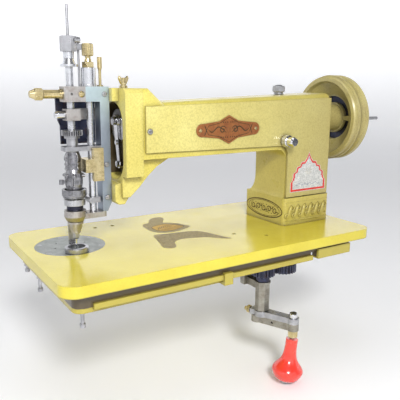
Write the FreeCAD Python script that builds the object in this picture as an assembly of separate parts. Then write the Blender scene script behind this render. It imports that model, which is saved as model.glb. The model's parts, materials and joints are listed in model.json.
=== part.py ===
import FreeCAD, Part
import math
import os
from FreeCAD import Vector

# Chain-stitch embroidery machine head with a hand crank under the bed.  Millimetres.
# Origin: where the needle meets the top of the needle plate, flush with the bed.
# +X runs along the arm to the handwheel, +Y to the back of the bed, +Z up.

os.makedirs("parts", exist_ok=True)

# ---------------------------------------------------------------- fits
running = 0.05          # radial clearance of a shaft that turns or slides in its bore
seated = 0.02           # radial clearance of a fixed pin or sleeve in its hole
side_gap = 0.4          # end play beside a turning piece

# ---------------------------------------------------------------- bed
bed_length = 421.0
bed_depth = 219.0
bed_rim = 12.5          # height of the outer rim
bed_web = 7.0           # thickness of the top inside the skirt
bed_corner = 18.0
needle_from_left = 51.3
needle_from_front = 105.0
skirt_inset = 11.0      # front and back
skirt_inset_left = 14.0
skirt_inset_right = 32.0
skirt_wall = 7.0
skirt_low = -33.0       # left stretch of the skirt
skirt_high = -29.5      # right stretch of the skirt
lip_out = 4.0
lip_height = 6.0
hinge_bore_r = 3.5
hinge_bore_depth = 15.0
hinge_from_ends = 90.0
mouth_inset = 4.0       # how far the opening under the column stays inside the column's hollow
pin_r = 2.0             # pins the bed rests on
pin_depth = 5.0

# ---------------------------------------------------------------- arm and column
arm_front = -33.0
arm_back = 29.0
arm_bottom = 102.5
arm_top_left = 163.5
arm_top_right = 174.0
arm_round = 13.0        # rounding of the long top edges
casting_wall = 7.0
column_from_right = 18.0
column_width = 76.0
column_round = 14.0     # inside corner under the arm
base_height = 37.0
base_front = -37.0
base_back = 47.0
base_side = 3.0         # how far the base block stands out at the sides
flare_height = 24.0
flare_back = 14.0
cover_thickness = 3.0
cover_left = 71.0
cover_bottom = 110.0
knob_z = 113.8
oil_stem_r = 3.0
badge_z = 132.0
badge_half_width = 47.0
badge_half_height = 17.0
badge_thickness = 0.9
rivet_r = 1.1

# ---------------------------------------------------------------- head casting
flange_x = 69.0         # face where the head casting meets the arm
head_end = 48.0         # open end of the head casting
frame_face = 40.6       # face that carries the upright head frame
head_top = 180.0
lobe_bottom = 52.0
head_half = 16.0        # half of the depth of the block behind the frame's top
opening_r = 24.0
opening_low = 78.0
opening_high = 165.0
opening_y = -1.0
wing_x = 61.5
wing_stem_r = 2.5
wing_depth = 8.0

# ---------------------------------------------------------------- main drive
shaft_z = 139.0
shaft_r = 7.0
bushing_wall = 4.0
boss_r = 22.0
boss_length = 14.0
wheel_gap = 4.0         # from the bearing boss to the wheel's hub
wheel_r = 59.5
wheel_width = 30.0
wheel_hub_r = 16.0
wheel_rim = 9.5         # radial thickness of the rim
wheel_web = 5.0         # thickness of the dish and of its foot
dish_depth = 18.5       # from the rim's left face to the foot of the dish
dish_foot_r = 32.0
groove_depth = 7.0
window_in = 21.5
window_out = 30.5
windows = 3
spoke = 14.0            # degrees of web left between two windows
backing_r = 33.0        # disc behind the windows
backing_thickness = 3.5
shaft_in_nut = 2.0      # how far the shaft reaches into the nut at its end
peg_r = 2.3
peg_radius = 42.0
peg_length = 52.0
peg_inset = 12.0        # from the rim's left face to the peg's seated end
peg_seat = 9.0          # length of the peg held in the wheel
disc_r = 18.0
disc_thickness = 6.0
throw = 5.0             # radius of the crank pin's circle
crank_pin_r = 3.0
rod_length = 48.0
rod_thickness = 3.5
rod_lean = 9.0          # degrees, lower end of the rod towards the front
bevel_r = 18.0
bevel_face = 6.0
upright_r = 5.0
lower_z = -24.0
lower_r = 5.0
low_bevel_r = 13.0
low_bevel_face = 4.0
bevel_teeth = 18
bevel_gap = 0.6         # between the cones, so that the teeth run free

# ---------------------------------------------------------------- upright head frame
frame_half = 8.0        # half of the frame's depth, front to back
frame_low = 44.0
frame_high = 181.5
frame_arm = 16.0        # height of the top arm
frame_bar = 10.6        # width of the upright bar
block_left = -9.0
block_right = 14.2
stud_z = 173.5          # studs through the top block
brass_x = 9.6           # thread guides beside the bars
lift_x = 34.0           # lifting pin in the top arm
frame_screws = [(35.3, 97.0), (35.3, 60.0), (35.3, stud_z)]
frame_screw_r = 1.6
plate_low = 113.5
plate_high = 118.3
boss_low = 36.0
boss_high = 48.0
boss_top_r = 12.0
boss_bottom_r = 9.5
case_r = 7.8
case_high = 201.0
stem_r = 3.0

# ---------------------------------------------------------------- needle bar
bar_r = 4.0
driver_low = 146.0
driver_high = 158.0
driver_y = 10.5
driver_bolt_x = -7.0    # seat of the bolt's head
clamp_low = 15.0
clamp_high = 21.5
needle_tip = 2.0
rod_x = 11.4            # guide rod beside the needle bar
rod_y = 2.0
guide_rod_r = 1.2
collar_low = 217.0
collar_high = 232.5
tube_top = 264.0

# ---------------------------------------------------------------- turning feed tube
tube_r = 6.0
gear_r = 11.4
gear_low = 130.0
gear_high = 135.5
feed_teeth = 28
claw_low = 74.0
carrier_high = 89.5
claw_high = 112.5
carrier_across = 18.4   # across the flats of the eight-sided block
claws = 3
flange_low = 62.6
flange_high = 71.5

# ---------------------------------------------------------------- presser bar and foot
presser_x = 21.0
presser_r = 4.0
bracket_low = 54.8
bracket_high = 61.0
strap_y = 14.0          # front face of the foot's strap
strap_thickness = 3.0
foot_r = 13.3
foot_height = 6.0

# ---------------------------------------------------------------- needle plate
plate_r = 40.0
plate_x = 1.7
plate_y = 27.0
plate_thickness = 3.0
plate_ledge = 9.0
plate_gap = 0.2
plate_screw_r = 1.5
plate_screw_angles = [-30, 30, 90, 150, 210]

# ---------------------------------------------------------------- crank under the bed
crank_from_right = 160.7
crank_from_front = 30.0
crank_r = 5.0
crank_angle = -66.4     # degrees, the way the arm points at rest
crank_length = 42.5
housing_flats = 17.0
housing_high = -52.0
housing_low = -89.6
arm_thickness = 7.0
link_thickness = 9.0
crank_teeth = 20
idler_teeth = 24
tooth_module = 1.4
gear_top = -34.0
gear_face = 10.0
stud_r = 3.0
bolt_r = 3.0
knob_r = 19.0
knob_neck = 7.3
knob_height = 52.0
knob_lean = 8.0         # degrees
spindle_r = 2.5

# ---------------------------------------------------------------- derived places
bed_left = -needle_from_left
bed_right = bed_left + bed_length
bed_front = -needle_from_front
bed_back = bed_front + bed_depth
skirt_left = bed_left + skirt_inset_left
skirt_right = bed_right - skirt_inset_right
skirt_front = bed_front + skirt_inset
skirt_back = bed_back - skirt_inset
column_right = bed_right - column_from_right
column_left = column_right - column_width
cover_front = arm_front - cover_thickness
upright_x = (column_left + column_right) / 2
wheel_x = column_right + boss_length + wheel_gap       # left end of the wheel's hub
rim_x = wheel_x + 4.0
web0 = rim_x + dish_depth
web1 = web0 + wheel_web
peg_x = rim_x + peg_inset
disc_x = flange_x - 9.0 - disc_thickness
rod_x1 = disc_x - side_gap
rod_x0 = rod_x1 - rod_thickness
bar_left = frame_face - frame_bar
crank_x = bed_right - crank_from_right
crank_y = bed_front + crank_from_front
crank_gear_r = tooth_module * crank_teeth / 2
idler_gear_r = tooth_module * idler_teeth / 2
idler_x = crank_x + crank_gear_r + idler_gear_r
arm_top = housing_low - side_gap
arm_low = arm_top - arm_thickness
link_low = arm_low - link_thickness
nut_low = link_low - 8.5
knob_top = nut_low - bolt_r
badge_x = flange_x + 112.0
rivet_places = [(badge_x - 40.5, badge_z), (badge_x + 40.5, badge_z)]
oil_x = column_left + 12.0
oil_seat = arm_top_left + (arm_top_right - arm_top_left) * (oil_x - flange_x) / (column_right - flange_x)
knob_x = column_left - 5.0
# place, stud radius and length of what is screwed through the cover
cover_points = [(cover_left + 4.5, 133.4, 1.6, 6.0), (knob_x, knob_z, 3.0, 6.0)]
lug_x = column_left - 142.0
gap_x = column_left - 6.0
hanger_places = [bed_left + 110.0, column_left - 20.0]
# holes drilled through the bed, the plate's screws and the pins it rests on
bed_holes = [(55.4, 84.2), (78.4, 82.1), (column_left - 81.7, -33.4), (column_left - 50.3, -59.4)]
plate_screws = [(plate_x + (plate_r - plate_ledge / 2) * math.cos(math.radians(a)),
                 plate_y + (plate_r - plate_ledge / 2) * math.sin(math.radians(a)))
                for a in plate_screw_angles]
rest_pins = [(skirt_left + skirt_wall + 10.0, skirt_front + 28.0, -bed_web, -60.0),
             (skirt_left + skirt_wall / 2, skirt_front + 128.0, skirt_low, -52.0),
             (skirt_left + skirt_wall / 2, skirt_back - 16.0, skirt_low, -44.0)]
# x, x, y, y of the bed's opening under the hollow column
column_mouth = (column_left + casting_wall + 2 + mouth_inset, column_right - 10 - mouth_inset,
                arm_front + 6 + mouth_inset, arm_back - casting_wall - mouth_inset)


# ---------------------------------------------------------------- shape helpers
def box(x0, x1, y0, y1, z0, z1):
    return Part.makeBox(x1 - x0, y1 - y0, z1 - z0, Vector(x0, y0, z0))


def cyl_z(r, z0, z1, x=0.0, y=0.0):
    return Part.makeCylinder(r, z1 - z0, Vector(x, y, z0), Vector(0, 0, 1))


def cyl_x(r, x0, x1, y=0.0, z=0.0):
    return Part.makeCylinder(r, x1 - x0, Vector(x0, y, z), Vector(1, 0, 0))


def cyl_y(r, y0, y1, x=0.0, z=0.0):
    return Part.makeCylinder(r, y1 - y0, Vector(x, y0, z), Vector(0, 1, 0))


def cone_z(r0, r1, z0, z1, x=0.0, y=0.0):
    return Part.makeCone(r0, r1, z1 - z0, Vector(x, y, z0), Vector(0, 0, 1))


def prism(points, direction):
    """Extrude a closed polygon of vectors."""
    return Part.Face(Part.makePolygon(points + [points[0]])).extrude(direction)


def prism_y(xz, y0, y1):
    return prism([Vector(x, y0, z) for x, z in xz], Vector(0, y1 - y0, 0))


def prism_x(yz, x0, x1):
    return prism([Vector(x0, y, z) for y, z in yz], Vector(x1 - x0, 0, 0))


def prism_z(xy, z0, z1):
    return prism([Vector(x, y, z0) for x, y in xy], Vector(0, 0, z1 - z0))


def fuse(first, *others):
    return first.multiFuse(list(others)).removeSplitter()


def cut(body, *tools):
    for tool in tools:
        body = body.cut(tool)
    return body


def regular(count, flats, start=0.0):
    """Corners of a regular polygon, given the distance across its flats."""
    r = flats / 2 / math.cos(math.pi / count)
    turn = [start + 2 * math.pi * k / count for k in range(count)]
    return [(r * math.cos(a), r * math.sin(a)) for a in turn]


def toothed(count, root, tip, fill=0.42, start=0.0):
    """Corners of a wheel with straight-sided teeth; fill is a tooth's share of the pitch."""
    pitch = 2 * math.pi / count
    corners = []
    for k in range(count):
        middle = start + k * pitch
        for r, half in ((root, -0.5 * fill - 0.14), (tip, -0.3 * fill),
                        (tip, 0.3 * fill), (root, 0.5 * fill + 0.14)):
            a = middle + half * pitch
            corners.append((r * math.cos(a), r * math.sin(a)))
    return corners


def knurled(r, length, count=32, depth=0.35):
    """A grip along +Z from the origin, its edge cut into fine straight flutes."""
    grip = prism_z(toothed(count, r - depth, r), 0, length)
    edge = min(1.0, length / 5)
    barrel = fuse(cone_z(r - edge, r, 0, edge), cyl_z(r, edge, length - edge),
                  cone_z(r, r - edge, length - edge, length))
    return grip.common(barrel)


def screw(head_r, head_height, shank_r, shank_length, slot=1.0):
    """Slotted screw: shank along -Z, head standing on the plane Z = 0."""
    head = fuse(cyl_z(head_r, 0, head_height * 0.6),
                cone_z(head_r, head_r * 0.8, head_height * 0.6, head_height))
    whole = fuse(head, cyl_z(shank_r, -shank_length, 0))
    return whole.cut(box(-head_r, head_r, -slot / 2, slot / 2, head_height * 0.55, head_height + 1))


def aim(shape, axis):
    """Turn a shape made along +Z so that it points along another axis."""
    turns = {"+z": (Vector(1, 0, 0), 0), "-z": (Vector(1, 0, 0), 180),
             "+x": (Vector(0, 1, 0), 90), "-x": (Vector(0, 1, 0), -90),
             "+y": (Vector(1, 0, 0), -90), "-y": (Vector(1, 0, 0), 90)}
    about, degrees = turns[axis]
    turned = shape.copy()
    turned.rotate(Vector(0, 0, 0), about, degrees)
    return turned


def put(shape, x, y, z, axis="+z"):
    placed = aim(shape, axis)
    placed.translate(Vector(x, y, z))
    return placed


def edges_where(shape, test):
    """Edges whose two ends and length pass a test."""
    chosen = []
    for edge in shape.Edges:
        if len(edge.Vertexes) == 2:
            a, b = (v.Point for v in edge.Vertexes)
            if test(a, b):
                chosen.append(edge)
    return chosen


def upright_edges(shape):
    return edges_where(shape, lambda a, b: abs(a.x - b.x) + abs(a.y - b.y) < 1e-6)


def rounded_block(x0, x1, y0, y1, z0, z1, r):
    block = box(x0, x1, y0, y1, z0, z1)
    return block.makeFillet(r, upright_edges(block))


def revolve_x(outline, z):
    """Turn a closed outline of (x, r) corners about the shaft's axis at height z."""
    points = [Vector(x, 0, z + r) for x, r in outline]
    face = Part.Face(Part.makePolygon(points + [points[0]]))
    return face.revolve(Vector(0, 0, z), Vector(1, 0, 0), 360)


def stadium_x(r, z0, z1, y, x0, x1):
    """An upright slot with round ends, cut along X."""
    return fuse(cyl_x(r, x0, x1, y, z0 + r), cyl_x(r, x0, x1, y, z1 - r),
                box(x0, x1, y - r, y + r, z0 + r, z1 - r))


def save(node, *pieces):
    shape = pieces[0] if len(pieces) == 1 else Part.makeCompound(list(pieces))
    shape.exportStep("parts/" + node + ".step")
    count = len(shape.Solids)
    print(node, count, "solid" if count == 1 else "solids",
          round(shape.Volume), "" if shape.isValid() else "NOT VALID")


# ---------------------------------------------------------------- bed
def make_bed():
    bed = rounded_block(bed_left, bed_right, bed_front, bed_back, -bed_rim, 0, bed_corner)
    skirt = rounded_block(skirt_left, skirt_right, skirt_front, skirt_back,
                          skirt_low, -bed_rim, bed_corner - skirt_wall)
    raised = box(lug_x + 12, skirt_right + 1, skirt_front - 1, skirt_back + 1, skirt_low - 1, skirt_high)
    bed = fuse(bed, skirt.cut(raised))
    lip = box(skirt_left + bed_corner, gap_x, skirt_front - lip_out, skirt_front + 1,
              skirt_high, skirt_high + lip_height)
    lug = box(lug_x, lug_x + 11.5, skirt_front - lip_out - 2, skirt_front + skirt_wall,
              skirt_low - 2.5, skirt_high + 8)
    foot = box(gap_x + 9, skirt_right - 2, skirt_front - lip_out, skirt_front + skirt_wall + 8,
               skirt_high, skirt_high + 12.5)
    bed = fuse(bed, lip, lug, foot)
    pocket = box(skirt_left + skirt_wall, skirt_right - skirt_wall, skirt_front + skirt_wall,
                 skirt_back - skirt_wall, skirt_low - 1, -bed_web)
    bed = bed.cut(pocket)
    bed = bed.cut(box(gap_x, gap_x + 9, skirt_front - 6, skirt_front + skirt_wall + 9,
                      skirt_low - 1, skirt_high + 9))
    for x in hanger_places:
        hanger = box(x - 8, x + 8, -10, 10, lower_z - 9, -bed_web)
        bed = fuse(bed, hanger).cut(cyl_x(lower_r + running, x - 9, x + 9, 0, lower_z))
    bed = cut(bed, cyl_z(plate_r + plate_gap, -plate_thickness, 1, plate_x, plate_y),
              cyl_z(plate_r - plate_ledge, -bed_rim - 1, 1, plate_x, plate_y),
              box(*column_mouth, -bed_rim - 1, 1))
    for x, y in plate_screws:
        bed = bed.cut(cyl_z(plate_screw_r + seated, -bed_web - 1, 0, x, y))
    for x, y in bed_holes:
        bed = bed.cut(cyl_z(2.6, -bed_web - 1, 1, x, y))
    for x, y, top, _ in rest_pins:
        bed = bed.cut(cyl_z(pin_r + seated, top - 1, top + pin_depth, x, y))
    for x in (bed_left + hinge_from_ends, bed_right - hinge_from_ends):
        bed = bed.cut(cyl_y(hinge_bore_r, bed_back - hinge_bore_depth, bed_back + 1, x, -bed_rim / 2))
    return bed


def make_rest_pins():
    pins = []
    for x, y, top, low in rest_pins:
        pin = fuse(cyl_z(pin_r, low + 4, top + pin_depth - 1, x, y), cyl_z(pin_r + 1, low, low + 4, x, y),
                   cyl_z(pin_r + 1.5, top - 3, top, x, y))
        pins.append(pin)
    return pins


# ---------------------------------------------------------------- needle plate
def make_needle_plate():
    plate = cyl_z(plate_r, -plate_thickness, 0, plate_x, plate_y)
    plate = plate.cut(cyl_z(1.7, -plate_thickness - 1, 1))
    for x, y in plate_screws:
        plate = cut(plate, cyl_z(plate_screw_r + seated, -plate_thickness - 1, 1, x, y),
                    cone_z(plate_screw_r + seated, 3.0, -1.4, 0.01, x, y))
    for k in range(6):
        a = math.radians(60 * k + 10)
        x = plate_x + 19 * math.cos(a)
        y = plate_y + 19 * math.sin(a)
        if math.hypot(x, y) > foot_r + 3:
            plate = plate.cut(cyl_z(1.3, -plate_thickness - 1, 1, x, y))
    return plate


def make_plate_screws():
    screws = []
    for x, y in plate_screws:
        body = fuse(cone_z(plate_screw_r, 2.9, -1.4, -0.05, x, y), cyl_z(plate_screw_r, -6, -1.4, x, y))
        screws.append(body.cut(box(x - 3, x + 3, y - 0.4, y + 0.4, -0.7, 1)))
    return screws


# ---------------------------------------------------------------- arm and column
def make_arm():
    outline = [(flange_x, arm_bottom), (column_left, arm_bottom), (column_left, base_height),
               (column_right, base_height), (column_right, arm_top_right), (flange_x, arm_top_left)]
    arm = prism_y(outline, arm_front, arm_back)

    def long_top(a, b):
        return abs(a.y - b.y) < 1e-6 and min(a.z, b.z) > arm_top_left - 1 and abs(a.x - b.x) > 10

    def inside_corner(a, b):
        return all(abs(p.x - column_left) < 1e-6 and abs(p.z - arm_bottom) < 1e-6 for p in (a, b))

    arm = arm.makeFillet(arm_round, edges_where(arm, long_top))
    arm = arm.makeFillet(column_round, edges_where(arm, inside_corner))
    hump = prism_y([(flange_x, arm_bottom + 5), (flange_x, head_top), (flange_x + 9, head_top),
                    (flange_x + 24, arm_top_left + 3), (flange_x + 44, arm_top_left - 14)],
                   arm_front, arm_back)
    hump = hump.makeFillet(8.0, edges_where(hump, lambda a, b: abs(a.y - b.y) < 1e-6
                                            and min(a.z, b.z) > arm_top_left))
    neck = prism_y([(flange_x, arm_bottom + 5), (flange_x, lobe_bottom + 19),
                    (flange_x + 10, lobe_bottom + 30),
                    (flange_x + 22, arm_bottom - 10), (flange_x + 44, arm_bottom + 2)],
                   arm_front + 11, arm_back - 11)
    base = rounded_block(column_left - base_side, column_right + base_side, base_front, base_back,
                         0, base_height, 5.0)
    steps = 6
    sections = []
    for k in range(steps + 1):
        a = math.pi / 2 * k / steps
        out = 1 - math.sin(a)
        z = base_height + flare_height * (1 - math.cos(a))
        x0 = column_left - base_side * out
        x1 = column_right + base_side * out * 0.4
        y1 = arm_back + flare_back * out
        sections.append(Part.makePolygon([Vector(x0, arm_front, z), Vector(x1, arm_front, z),
                                          Vector(x1, y1, z), Vector(x0, y1, z), Vector(x0, arm_front, z)]))
    flare = Part.makeLoft(sections, True, True)
    boss = cyl_x(boss_r, column_right - 1, column_right + boss_length, 0, shaft_z)
    arm = fuse(arm, hump, neck, base, flare, boss)
    w = casting_wall
    arm_hollow = box(flange_x + 9, column_right - 10, arm_front - 1, arm_back - w,
                     arm_bottom + w + 3, arm_top_left - w - 1)
    column_hollow = box(column_left + w + 2, column_right - 10, arm_front - 1, arm_back - w,
                        base_height + 8, shaft_z + bevel_r + 3)
    base_hollow = box(column_left + w + 2, column_right - 10, arm_front + 6, arm_back - w,
                      -1, base_height + 9)
    sleeve_r = shaft_r + bushing_wall + seated
    sleeve = cyl_x(sleeve_r, flange_x - 1, column_right + boss_length + 1, 0, shaft_z)
    arm = cut(arm, arm_hollow, column_hollow, base_hollow, sleeve)
    bearing = box(upright_x - 9, upright_x + 9, -9, arm_back - w + 1, base_height + 20, base_height + 34)
    arm = fuse(arm, bearing)
    arm = arm.cut(cyl_z(upright_r + running, base_height + 19, base_height + 35, upright_x, 0))
    for x, z, r, _ in cover_points:
        arm = arm.cut(cyl_y(r + seated, arm_front - 1, arm_front + 8, x, z))
    arm = arm.cut(cyl_z(oil_stem_r + seated, arm_top_right - 12, arm_top_right + 5, oil_x, 0))
    return arm


def make_cover():
    top_at_left = arm_top_left - 3
    top_at_right = arm_top_right - 6
    outline = [(cover_left, cover_bottom), (column_left + 1, cover_bottom - 2.5),
               (column_left + 1, base_height + 1), (column_right - 1, base_height + 1),
               (column_right - 1, top_at_right), (cover_left, top_at_left)]
    cover = prism_y(outline, cover_front, arm_front)

    def inside_corner(a, b):
        return all(abs(p.x - column_left - 1) < 1e-6 and p.z > cover_bottom - 5 for p in (a, b))

    cover = cover.makeFillet(column_round - 2, edges_where(cover, inside_corner))
    for x, z, r, _ in cover_points:
        cover = cover.cut(cyl_y(r + seated, cover_front - 1, arm_front + 1, x, z))
    for x, z in rivet_places:
        cover = cover.cut(cyl_y(rivet_r + seated, cover_front - 1, arm_front + 1, x, z))
    return cover


def make_badge():
    """A long plate with a point above and below and a round lobe at each end."""
    w, h = badge_half_width, badge_half_height
    corners = []
    for x, z in ((w - 2, 0), (w - 6, 7), (14, 10), (0, h), (-14, 10), (6 - w, 7),
                 (2 - w, 0), (6 - w, -7), (-14, -10), (0, -h), (14, -10), (w - 6, -7)):
        corners.append((badge_x + x, badge_z + z))
    plate = prism_y(corners, cover_front - badge_thickness, cover_front)
    for side in (-1, 1):
        plate = fuse(plate, cyl_y(7.5, cover_front - badge_thickness, cover_front,
                                  badge_x + side * (w - 8.5), badge_z))
    for x, z in rivet_places:
        plate = plate.cut(cyl_y(rivet_r + seated, cover_front - 3, arm_front, x, z))
    return plate


def make_rivets():
    rivets = []
    front = cover_front - badge_thickness
    for x, z in rivet_places:
        head = put(cone_z(2.2, 1.4, 0, 0.9), x, front, z, "-y")
        rivets.append(fuse(head, cyl_y(rivet_r, front, arm_front - 0.2, x, z)))
    return rivets


def make_cover_knob():
    """Chrome thumb knob: a knurled collar with a plain end, on a threaded stud."""
    r = cover_points[1][2]
    knob = fuse(knurled(8.0, 9.0), cyl_z(6.2, 9.0, 17.0), cone_z(6.2, 4.8, 17.0, 19.0))
    knob = fuse(knob, cyl_z(r, -cover_thickness - cover_points[1][3], 0))
    return put(knob, knob_x, cover_front - side_gap / 2, knob_z, "-y")


def make_oil_cap():
    cap = fuse(cyl_z(6.0, 0, 3.0), put(knurled(8.2, 8.0, 28), 0, 0, 3.0), cone_z(6.0, 3.5, 11.0, 12.5))
    return put(fuse(cap, cyl_z(oil_stem_r, -8.0, 0)), oil_x, 0, oil_seat + side_gap)


# ---------------------------------------------------------------- head casting
def make_head():
    head = prism_y([(head_end, lobe_bottom + 8), (head_end + 9, lobe_bottom + 8),
                    (flange_x, lobe_bottom + 19), (flange_x, head_top), (head_end, head_top)],
                   arm_front, arm_back)

    def long_edges(a, b):
        return (abs(a.y - b.y) < 1e-6 and abs(a.z - b.z) < 1e-6
                and abs(a.x - b.x) > 5 and a.z > head_top - 1)

    head = head.makeFillet(8.0, edges_where(head, long_edges))
    # below the opening the casting narrows to the lobe that carries the frame's lower end
    waist_low = lobe_bottom + 32
    for y0, y1 in ((arm_front - 1, arm_front + 11), (arm_back - 11, arm_back + 1)):
        head = head.cut(box(head_end - 1, flange_x + 1, y0, y1, lobe_bottom - 5, waist_low))
    upper = rounded_block(frame_face, head_end + 2, -head_half, head_half, opening_high + 1, head_top, 1.0)
    lobe = prism_y([(frame_face, lobe_bottom + 4), (frame_face + 4, lobe_bottom),
                    (head_end + 4, lobe_bottom), (head_end + 10, lobe_bottom + 9),
                    (head_end + 10, opening_low), (frame_face, opening_low - 3)],
                   arm_front + 15, arm_back - 13)
    head = fuse(head, upper, lobe)
    hollow = stadium_x(opening_r, opening_low, opening_high, opening_y, frame_face - 1, flange_x - 6)
    hollow = hollow.cut(box(frame_face - 2, head_end, -40, 40, opening_high, 200))
    sleeve = cyl_x(shaft_r + bushing_wall + seated, head_end, flange_x + 1, 0, shaft_z)
    wing = cyl_z(wing_stem_r + running, head_top - wing_depth - 1, head_top + 1, wing_x, 0)
    return cut(head, hollow, sleeve, wing)


def make_wing_screw():
    """Brass wing screw standing in the top of the head casting."""
    body = fuse(cyl_z(4.6, 0, 2.5), cyl_z(3.2, 2.5, 5.0), cyl_z(2.6, 5.0, 11.0))
    for side in (-1, 1):
        wing = prism_y([(side * 1.5, 4.0), (side * 4.0, 4.0), (side * 7.4, 10.0), (side * 6.4, 13.0),
                        (side * 3.8, 11.0), (side * 1.5, 10.0)], -1.2, 1.2)
        body = fuse(body, wing)
    body = fuse(body, cyl_z(wing_stem_r, -wing_depth, 0))
    body.rotate(Vector(0, 0, 0), Vector(0, 0, 1), 20)
    return put(body, wing_x, 0, head_top + side_gap / 2)


# ---------------------------------------------------------------- main drive
def make_bushings():
    outer = shaft_r + bushing_wall
    bushings = []
    for x0, x1 in ((flange_x - 6, flange_x + 9), (column_right - 10, column_right + boss_length)):
        sleeve = cyl_x(outer, x0, x1, 0, shaft_z)
        bushings.append(sleeve.cut(cyl_x(shaft_r + running, x0 - 1, x1 + 1, 0, shaft_z)))
    return bushings


def bevel(r, face, bore, start=0.0):
    """Bevel gear along +Z: large end at Z = 0, its cone's tip at Z = r."""
    large = prism_points(toothed(bevel_teeth, r - 2.0, r, 0.42, start), 0)
    small = prism_points(toothed(bevel_teeth, r - face - 1.4, r - face, 0.42, start), face)
    gear = Part.makeLoft([large, small], True, True)
    back = cone_z(r - 5.0, r - 2.2, -2.5, 0)
    return fuse(gear, back).cut(cyl_z(bore, -5, face + 1))


def prism_points(xy, z):
    points = [Vector(x, y, z) for x, y in xy]
    return Part.makePolygon(points + [points[0]])


def make_main_shaft():
    shaft = cyl_x(shaft_r, disc_x + 2, web1 + backing_thickness + shaft_in_nut, 0, shaft_z)
    gear = put(bevel(bevel_r, bevel_face, shaft_r - 0.5), upright_x - bevel_r - bevel_gap, 0, shaft_z, "+x")
    return fuse(shaft, gear)


def make_upright_shaft():
    """Upright shaft in the column, with a bevel gear at each end."""
    top = shaft_z - bevel_r - bevel_gap
    low = lower_z + low_bevel_r + bevel_gap
    shaft = cyl_z(upright_r, low - 2.5, top, upright_x, 0)
    upper = put(bevel(bevel_r, bevel_face, upright_r - 0.5), upright_x, 0, top)
    lower = put(bevel(low_bevel_r, low_bevel_face, upright_r - 0.5), upright_x, 0, low, "-z")
    plug = cyl_z(upright_r, top - 1, top + bevel_face, upright_x, 0)
    return fuse(shaft, upper, lower, plug)


def make_lower_shaft():
    """Shaft under the bed; its left end carries the looper, below the needle."""
    right = upright_x - low_bevel_r - bevel_gap
    shaft = cyl_x(lower_r, 8, right + low_bevel_face, 0, lower_z)
    gear = put(bevel(low_bevel_r, low_bevel_face, lower_r - 0.5), right, 0, lower_z, "+x")
    hub = cyl_x(9.0, 6, 16, 0, lower_z)
    hook = prism_x([(-2.0, lower_z + 7), (2.0, lower_z + 7), (4.5, lower_z + 12), (-1.0, lower_z + 13.5)],
                   6, 10)
    return fuse(shaft, gear, hub, hook)


def make_disc():
    """Crank disc on the shaft's end; its pin carries the connecting rod."""
    x1 = disc_x + disc_thickness
    disc = cyl_x(disc_r, disc_x, x1, 0, shaft_z)
    disc = disc.cut(cyl_x(shaft_r + seated, disc_x + 2, x1 + 1, 0, shaft_z))
    pin_z = shaft_z + throw
    pin = cyl_x(crank_pin_r, rod_x0 - side_gap - 1, disc_x + 1, 0, pin_z)
    head = cyl_x(crank_pin_r + 1.6, rod_x0 - side_gap - 2.8, rod_x0 - side_gap, 0, pin_z)
    hole = cyl_x(2.5, disc_x - 1, x1 + 1, 0, shaft_z - 12.5)
    return fuse(disc, pin, head).cut(hole)


def make_rod():
    """Connecting rod on the crank pin, with a button at its lower eye."""
    rod = fuse(cyl_z(7.0, 0, rod_thickness), cyl_z(5.0, 0, rod_thickness, rod_length, 0),
               prism_z([(0, -4.6), (rod_length, -3.2), (rod_length, 3.2), (0, 4.6)], 0, rod_thickness),
               cyl_z(3.4, rod_thickness, rod_thickness + 2.6, rod_length, 0),
               cyl_z(2.6, rod_thickness, rod_thickness + 1.6, rod_length * 0.5, 0))
    rod = rod.cut(cyl_z(crank_pin_r + running, -1, rod_thickness + 1))
    rod = aim(rod, "-x")
    # the rod now lies along +Z; hang it down from the pin, leaning to the front
    rod.rotate(Vector(0, 0, 0), Vector(1, 0, 0), 180 - rod_lean)
    rod.translate(Vector(rod_x1, 0, shaft_z + throw))
    return rod


def make_handwheel():
    """Grooved rim, a dish that slopes in to the right, and a hub that reaches back to the left."""
    x0 = rim_x
    x1 = rim_x + wheel_width
    r = wheel_r
    middle = (x0 + x1) / 2
    inner = r - wheel_rim
    flange = r - 1.5
    groove_half = 4.5
    bore = shaft_r + seated
    outline = [(wheel_x, bore), (wheel_x, wheel_hub_r), (web0, wheel_hub_r + 3), (web0, dish_foot_r),
               (x0 + 5, inner - 1.5), (x0 + 2, inner), (x0, inner + 1), (x0, flange - 1.5),
               (x0 + 2, flange), (x0 + 7, flange), (x0 + 8, r), (middle - groove_half, r),
               (middle, r - groove_depth), (middle + groove_half, r), (x1 - 4, r), (x1, r - 2.5),
               (x1, inner + 1), (x1 - 2, inner), (x0 + 5 + 1.3 * wheel_web, inner),
               (web1, dish_foot_r + 1.5), (web1, bore)]
    wheel = revolve_x(outline, shaft_z)
    pitch = 360.0 / windows
    for k in range(windows):
        sector = Part.makeCylinder(window_out, 2 * wheel_web, Vector(0, 0, 0), Vector(0, 0, 1),
                                   pitch - spoke)
        sector = sector.cut(cyl_z(window_in, -1, 2 * wheel_web + 1))
        # one spoke points to the front, where the peg is
        sector.rotate(Vector(0, 0, 0), Vector(0, 0, 1), pitch * k + spoke / 2 - 90)
        wheel = wheel.cut(put(sector, web0 - wheel_web / 2, 0, shaft_z, "+x"))
    seat = cyl_x(peg_r + 3.7, peg_x, peg_x + peg_seat, -peg_radius, shaft_z)
    hole = cyl_x(peg_r + seated, peg_x - 1, peg_x + peg_seat + 1, -peg_radius, shaft_z)
    return fuse(wheel, seat).cut(hole)


def make_peg():
    tip = 1.0
    collar_x = peg_x + peg_seat
    peg = fuse(cyl_x(peg_r, peg_x, peg_x + peg_length - tip, -peg_radius, shaft_z),
               cyl_x(peg_r - 0.8, peg_x + peg_length - tip, peg_x + peg_length, -peg_radius, shaft_z))
    return fuse(peg, cyl_x(peg_r + 2.2, collar_x, collar_x + 3, -peg_radius, shaft_z))


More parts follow.
